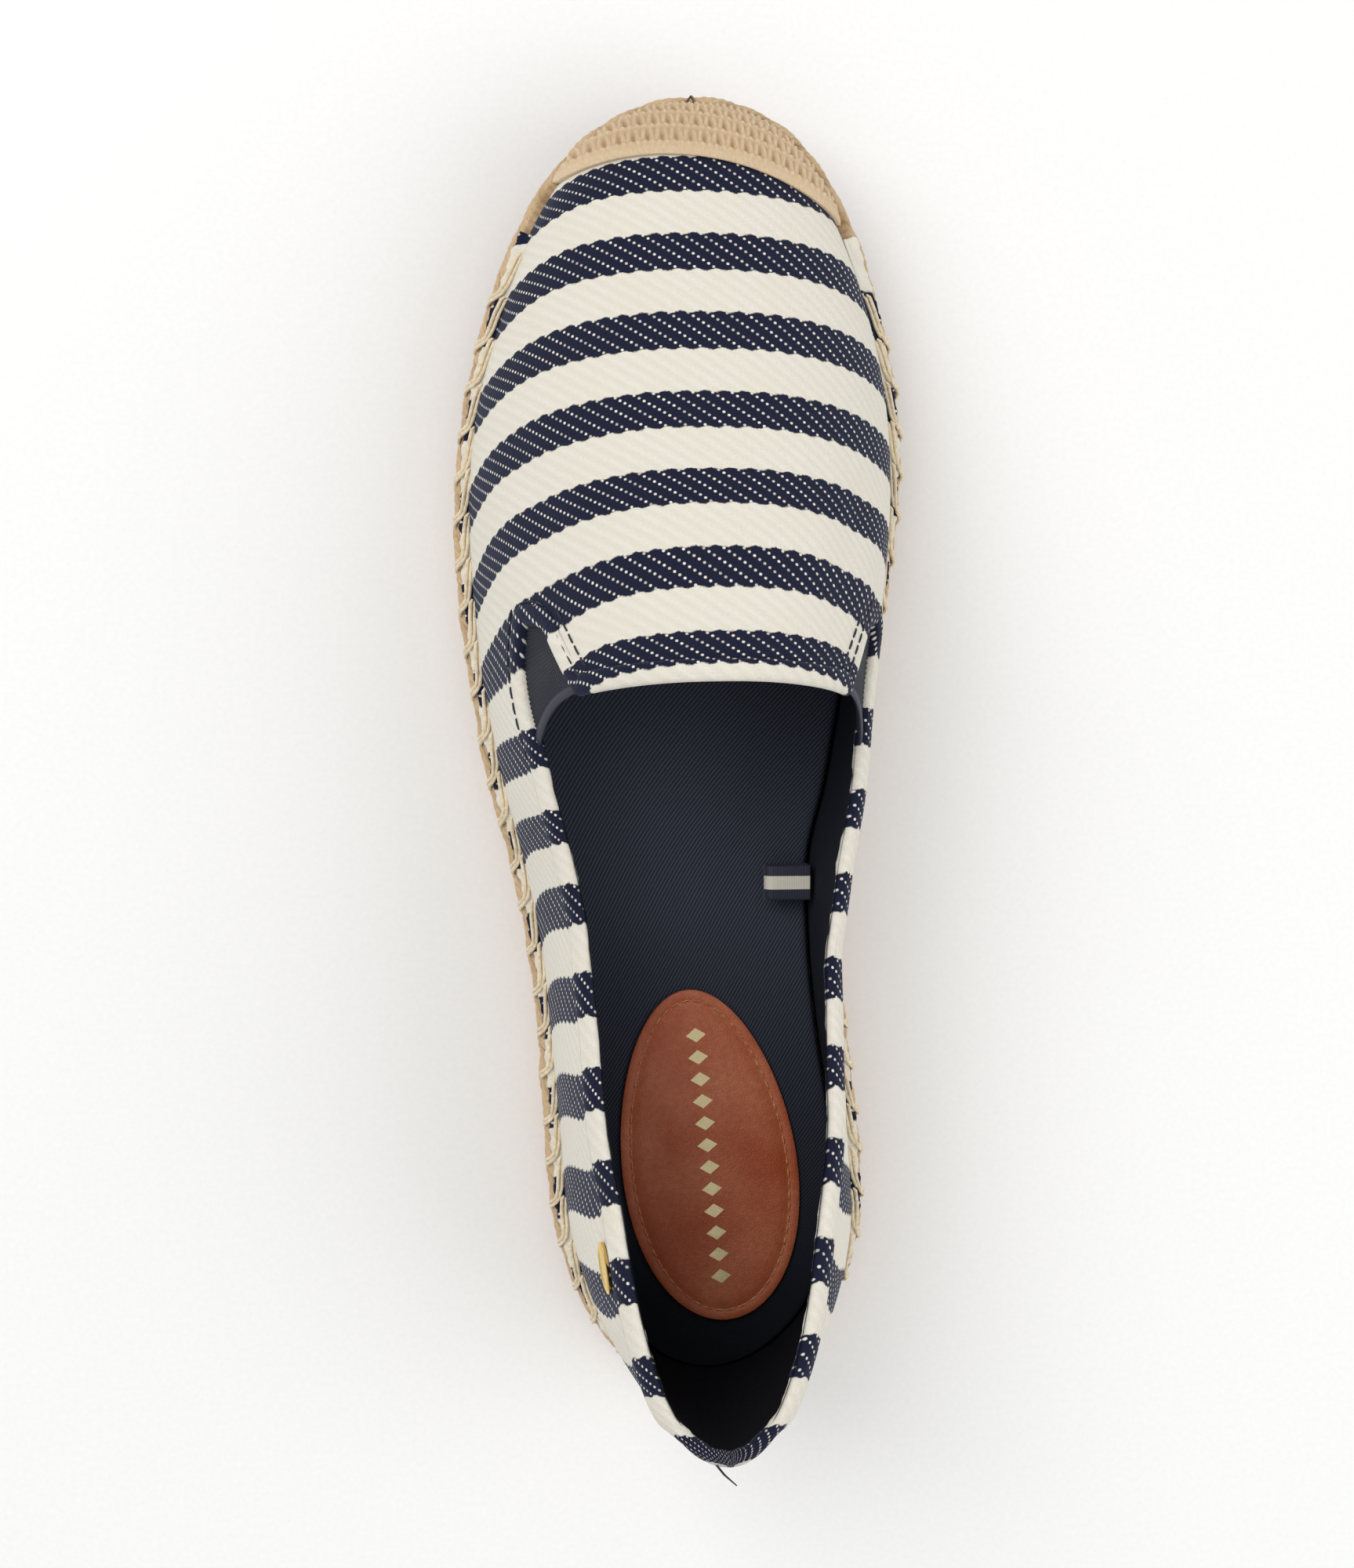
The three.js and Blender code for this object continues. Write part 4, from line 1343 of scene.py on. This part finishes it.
def crochet(across, row):
    """Height of the loops, in millimetres: two legs a stitch, a chain on every row."""
    rows = row / ROW_PITCH
    number = np.floor(rows)
    up = rows - number
    loops = across / LOOP_PITCH + 0.5 * (number % 2)
    at = loops - np.floor(loops) - 0.5
    spread = lerp(0.13, 0.31, up)
    leg = np.exp(-((np.abs(at) - spread) * LOOP_PITCH / 0.42) ** 2)
    leg = leg * np.sin(np.pi * np.clip(up, 0.05, 0.95))
    to_chain = np.minimum(up, 1 - up) * ROW_PITCH
    bead = 0.7 + 0.3 * np.cos(4 * np.pi * (across / LOOP_PITCH + 0.15))
    chain = np.exp(-(to_chain / 0.55) ** 2) * bead
    between = np.exp(-((np.abs(at) - 0.5) * LOOP_PITCH / 0.42) ** 2
                     - ((up - 0.4) * ROW_PITCH / 0.9) ** 2)
    return 0.62 * np.maximum(leg, chain) - 0.42 * between


def cap_form(u, v):
    """Angle, share of the length, relief, and the place across and along the rows."""
    angle = np.pi * u
    y = cap_stations(angle, v)
    x = surface(angle, y, CAP_PROUD)[:, 0]
    behind = y - cap_edge(x)
    row = np.interp(CAP_EDGE_Y + behind, RIDGE_STATIONS, RIDGE_RUN)
    row = row - np.interp(CAP_EDGE_Y, RIDGE_STATIONS, RIDGE_RUN)
    relief = crochet(x * 1.05, row - 1.9) * smooth(row, 0.9, 2.2) * smooth((1 - v) * 24, 0.3, 3.0)
    return angle, y, relief, x, row


def cap_place(u, v):
    angle, y, relief, _, row = cap_form(u, v)
    height = surface(angle, y, CAP_PROUD)[:, 2] - SOLE_HEIGHT - spring(y)
    spread = CAP_SPREAD * np.exp(-(height / 1.8) ** 2)
    grow = lerp(0.1, CAP_PROUD, np.sqrt(smooth(row, -0.6, 1.0))) + relief + spread
    return surface(angle, y * (CAP_TIP + grow - CAP_PROUD) / CAP_TIP, grow)


def cap_dressing(u, v):
    _, _, relief, x, row = cap_form(u, v)
    # the third value is how much painted shade falls here: more where the loops are low, little on the
    # plain band at the back edge
    return x, row, 0.55 - 1.1 * relief - 0.5 * (1 - smooth(row, 0.9, 2.2))


cap = grid_piece("crochet_toe_cap", 250, 150, cap_place)
thicken(cap, CAP_THICK)
dress(cap, cap_dressing)
cotton = finish("cotton crochet, undyed", spun_fibre("#F1DCBE", "#E6CBA6", "#D3B389", "#B08A5C", 35),
                 roughness=0.9, ior=1.48, sheen_weight=0.25, sheen_tint=linear("#FFF0DA"))
give(cap, "crochet", cotton, stands_for=["toe_cap"])

# %% [markdown]
# ## Insole and heel patch
# The insole is a thin foam bed covered in the lining's twill. It is a little dished, with its
# edge turned down at the wall. The heel patch is an oval of leather, sewn round its edge; a row
# of plain gold lozenges is foil-blocked down its middle.

# %% Insole
BED_TOP = 20.35
BED_DISH = 1.1
BED_THICK = 2.4
BED_GAP = 0.5          # between the insole and the lining


def bed_place(u, v):
    tip = TIP - WALL - BED_GAP
    y = -tip * np.cos(np.pi * v)
    side = 2 * u - 1
    half = (along("sole_half", y) - FOOT_INSET - WALL - BED_GAP) * round_ends(y, tip)
    dish = BED_DISH * np.abs(side) ** 3.5 * smooth(-np.abs(y), -122, -100)
    edge_drop = 0.9 * smooth(np.abs(side), 0.955, 1.0)
    z = BED_TOP + spring(y) + dish - edge_drop
    return np.stack([along("foot_x", y) + half * side, y, z], axis=-1)


insole = grid_piece("cloth_insole", 60, 120, bed_place, uv_size=(70.0, 255.0), uv_name="cloth")
thicken(insole, BED_THICK)
give(insole, "insole_cloth", bed_cover, stands_for=["insole"])

# %% Heel patch
PATCH_X, PATCH_Y, PATCH_TURN = 5.4, -80.8, 8
PATCH_HALF, PATCH_LONG = 17.8, 34.3
PATCH_EGG = 0.10       # how much wider the patch is at its heel end
PATCH_FOOT, PATCH_TOP = 20.5, 21.5


def patch_point(turn, inset, z):
    """A point on the oval, some millimetres inside its edge."""
    x = (PATCH_HALF - inset) * np.cos(turn) * (1 - PATCH_EGG * np.sin(turn))
    y = (PATCH_LONG - inset) * np.sin(turn)
    c, s = math.cos(math.radians(PATCH_TURN)), math.sin(math.radians(PATCH_TURN))
    return np.stack([PATCH_X + x * c - y * s, PATCH_Y + x * s + y * c, np.full_like(x, z)], axis=-1)


bpy.ops.object.select_all(action="DESELECT")
bpy.ops.mesh.primitive_cylinder_add(vertices=128, radius=1, depth=2)
patch = bpy.context.object
patch.name = "leather_heel_patch"
rim = np.array([v.co for v in patch.data.vertices])
turn = np.arctan2(rim[:, 1], rim[:, 0])
oval = patch_point(turn, 0.0, 0.0)
oval[:, 2] = np.where(rim[:, 2] > 0, PATCH_TOP, PATCH_FOOT)
patch.data.vertices.foreach_set("co", (oval * MM).ravel())
bpy.ops.object.mode_set(mode="EDIT")
bpy.ops.mesh.select_mode(type="FACE")
bpy.ops.mesh.select_all(action="DESELECT")
bpy.ops.object.mode_set(mode="OBJECT")
for face in patch.data.polygons:
    face.select = face.normal.z > 0.9
bpy.ops.object.mode_set(mode="EDIT")
PATCH_STEPS = ((0.35, 0.2), (1.3, 0.05), (0.35, -0.22), (0.35, 0.0), (0.4, 0.25), (1.8, 0.1), (2.4, 0.08))
for inset, lift in PATCH_STEPS:
    bpy.ops.mesh.inset(thickness=inset * MM, depth=0)
    bpy.ops.transform.translate(value=(0, 0, lift * MM))
bpy.ops.object.mode_set(mode="OBJECT")
bpy.ops.object.shade_smooth_by_angle(angle=math.radians(50))


def grained_leather(tree):
    place = add(tree, "TexCoord").outputs["Object"]
    cells = add(tree, "TexVoronoi", {"Vector": place, "Scale": 1500.0}, feature="DISTANCE_TO_EDGE")
    grain = add(tree, "MapRange", [cells, 0.0, 0.22, 0.0, 1.0])
    cloud = mottle(tree, place, 55.0, 4.0)
    fine = mottle(tree, place, 900.0, 4.0)
    colour = blend_colours(tree, add(tree, "MapRange", [cloud, 0.3, 0.7, 0.0, 1.0]),
                           linear("#B8552C"), linear("#D47E58"))
    colour = stained(tree, colour, "#9E4526", fine, 0.3, 0.75, 0.4)
    height = calc(tree, "MULTIPLY_ADD", fine, 0.5, grain)
    bump = bumped(tree, 0.35, 0.00012, height)
    rough = add(tree, "MapRange", [grain, 0.0, 1.0, 0.6, 0.42])
    return {"Base Color": colour, "Normal": bump, "Roughness": rough}


leather = finish("leather, grained and pigmented", grained_leather, ior=1.5, specular_ior_level=0.5)
give(patch, "leather", leather, stands_for=["heel_patch"])

# %% Patch stitches and lozenges
tan_thread = finish("polyester thread, tan", plied_thread("#EDAE7C", "#B06A3A", 1500.0), roughness=0.55)
around = np.linspace(0, 2 * np.pi, 800)
groove = patch_point(around, 2.1, PATCH_TOP + 0.12)
groove_run = run_of(groove)
patch_paths = []
for start in np.arange(0, groove_run[-1] - 1.0, 2.35):
    at = start + 1.75 * np.array([0.0, 0.15, 0.5, 0.85, 1.0])
    at = at % groove_run[-1]
    points = np.stack([np.interp(at, groove_run, groove[:, k]) for k in range(3)], axis=1)
    points[:, 2] += np.array([-0.25, 0.05, 0.12, 0.05, -0.25])
    patch_paths.append((points, STITCH_TAPER))
patch_stitches = threads("patch_stitches", patch_paths, 0.22, 0)
give(patch_stitches, "leather", tan_thread)

LOZENGES = 12
LOZENGE = (2.1, 1.5)
FOIL_TURN = 6
FOIL_LIFT = 0.42
bpy.ops.object.select_all(action="DESELECT")
bpy.ops.mesh.primitive_cylinder_add(vertices=4, radius=1, depth=1)
lozenge = bpy.context.object
bpy.ops.object.mode_set(mode="EDIT")
bpy.ops.transform.resize(value=(LOZENGE[0] * MM, LOZENGE[1] * MM, 0.12 * MM))
bpy.ops.mesh.bevel(offset=0.03 * MM, segments=1)
bpy.ops.object.mode_set(mode="OBJECT")
lozenge_places = []
for along_patch in np.linspace(-25, 25, LOZENGES):
    c, s = math.cos(math.radians(FOIL_TURN)), math.sin(math.radians(FOIL_TURN))
    lozenge_places.append((PATCH_X - along_patch * s, PATCH_Y + along_patch * c, PATCH_TOP + FOIL_LIFT,
                           math.radians(FOIL_TURN)))
foil = copies(lozenge, "gold_lozenges", lozenge_places)


def polished(tree):
    place = add(tree, "TexCoord").outputs["Object"]
    wear = mottle(tree, place, 800.0, 3.0)
    return {"Roughness": add(tree, "MapRange", [wear, 0.3, 0.7, 0.18, 0.34])}


gold = finish("brass, gold-plated and polished", polished, base_color=linear("#E8C77E"), metallic=1.0)
foil_gold = finish("gold foil, hot-stamped", polished, base_color=linear("#F0DCA8"), metallic=0.45)
give(foil, "stud", foil_gold)

# %% [markdown]
# ## Side tab and stud
# A folded ribbon loop is sewn in at the inner wall, and a small gold plate is riveted on the
# outer quarter near the heel. The plate is a rounded oval that follows the wall.

# %% Ribbon loop
TAB_Y, TAB_Z, TAB_WIDE, TAB_REACH, TAB_TALL = -24.5, 25.0, 7.0, 9.0, 3.0
RIBBON_THICK = 0.55


def tab_place(u, v):
    wall_x = float(along("foot_x", TAB_Y) + along("sole_half", TAB_Y)) - FOOT_INSET - WALL
    radius = TAB_TALL / 2
    flat = TAB_REACH - radius
    length = 2 * flat + np.pi * radius
    s = u * length
    bend = np.clip((s - flat) / radius, 0, np.pi)
    x = np.where(s < flat, -s, np.where(s > length - flat, -(length - s), -flat)) - radius * np.sin(bend)
    z = radius * np.cos(bend)
    z = z + 0.25 * np.sin(np.pi * v) * np.sin(np.pi * u)
    return np.stack([wall_x - 0.3 + x, TAB_Y + (v - 0.5) * TAB_WIDE, TAB_Z + z], axis=-1)


def ribbon_weave(tree):
    uv = add(tree, "UVMap", uv_map="along")
    across = add(tree, "SeparateXYZ", [uv]).outputs[1]
    away = calc(tree, "SUBTRACT", across, TAB_WIDE / 2)
    away = calc(tree, "ABSOLUTE", away)
    stripe = add(tree, "MapRange", [away, 1.25, 1.4, 0.0, 1.0])
    rib = add(tree, "TexWave", {"Vector": uv, "Scale": 0.8, "Detail": 1.0})
    colour = blend_colours(tree, stripe, linear("#E9E3D2"), linear("#1C2036"))
    bump = bumped(tree, 0.5, 0.0001, rib.outputs["Fac"])
    return {"Base Color": colour, "Normal": bump}


ribbon = finish("grosgrain ribbon, woven", ribbon_weave, roughness=0.55, ior=1.5, sheen_weight=0.2)
tab = grid_piece("ribbon_loop", 60, 16, tab_place, merge=False, uv_size=(22.0, TAB_WIDE))
thicken(tab, RIBBON_THICK, 0)
give(tab, "ribbon", ribbon, stands_for=["side_tab"])

# %% Stud
STUD_Y, STUD_Z, STUD_LONG, STUD_TALL, STUD_THICK = -93.5, 60.0, 10.0, 4.0, 1.1


def stud_place(u, v):
    """A domed oval plate with a raised rim, laid on the wall."""
    turn = 2 * np.pi * u
    part = np.interp(v, (0, 0.2, 0.35, 0.5, 0.75, 0.9, 1.0), (0.0, 0.95, 1.0, 1.0, 0.92, 0.72, 0.0))
    lift = np.interp(v, (0, 0.2, 0.35, 0.5, 0.75, 0.9, 1.0), (0.2, 0.2, 0.35, 0.95, 1.1, 0.8, 0.95))
    side = np.stack([STUD_Y + part * STUD_LONG / 2 * np.cos(turn),
                     STUD_Z + part * STUD_TALL / 2 * np.sin(turn)], axis=1)
    angle, y = on_side(side, False)
    base = surface(angle, y)
    return base + (surface(angle, y, 1.0) - base) * (lift * STUD_THICK)[:, None]


stud = grid_piece("gold_stud", 48, 20, stud_place)
give(stud, "stud", gold, stands_for=["heel_stud"])

# %% [markdown]
# ## Floor
# The floor is a plain pale sheet under the sole.

# %% Floor
def pale_paper(tree):
    place = add(tree, "TexCoord").outputs["Object"]
    grain = mottle(tree, place, 900.0, 2.0)
    return {"Base Color": blend_colours(tree, grain, linear("#F4F4F3"), linear("#FBFBFA"))}


bpy.ops.mesh.primitive_plane_add(size=6, location=(0, 0, 0))
floor = bpy.context.object
floor.name = "floor"
floor.data.materials.append(finish("matt paper, pale", pale_paper, roughness=0.95))
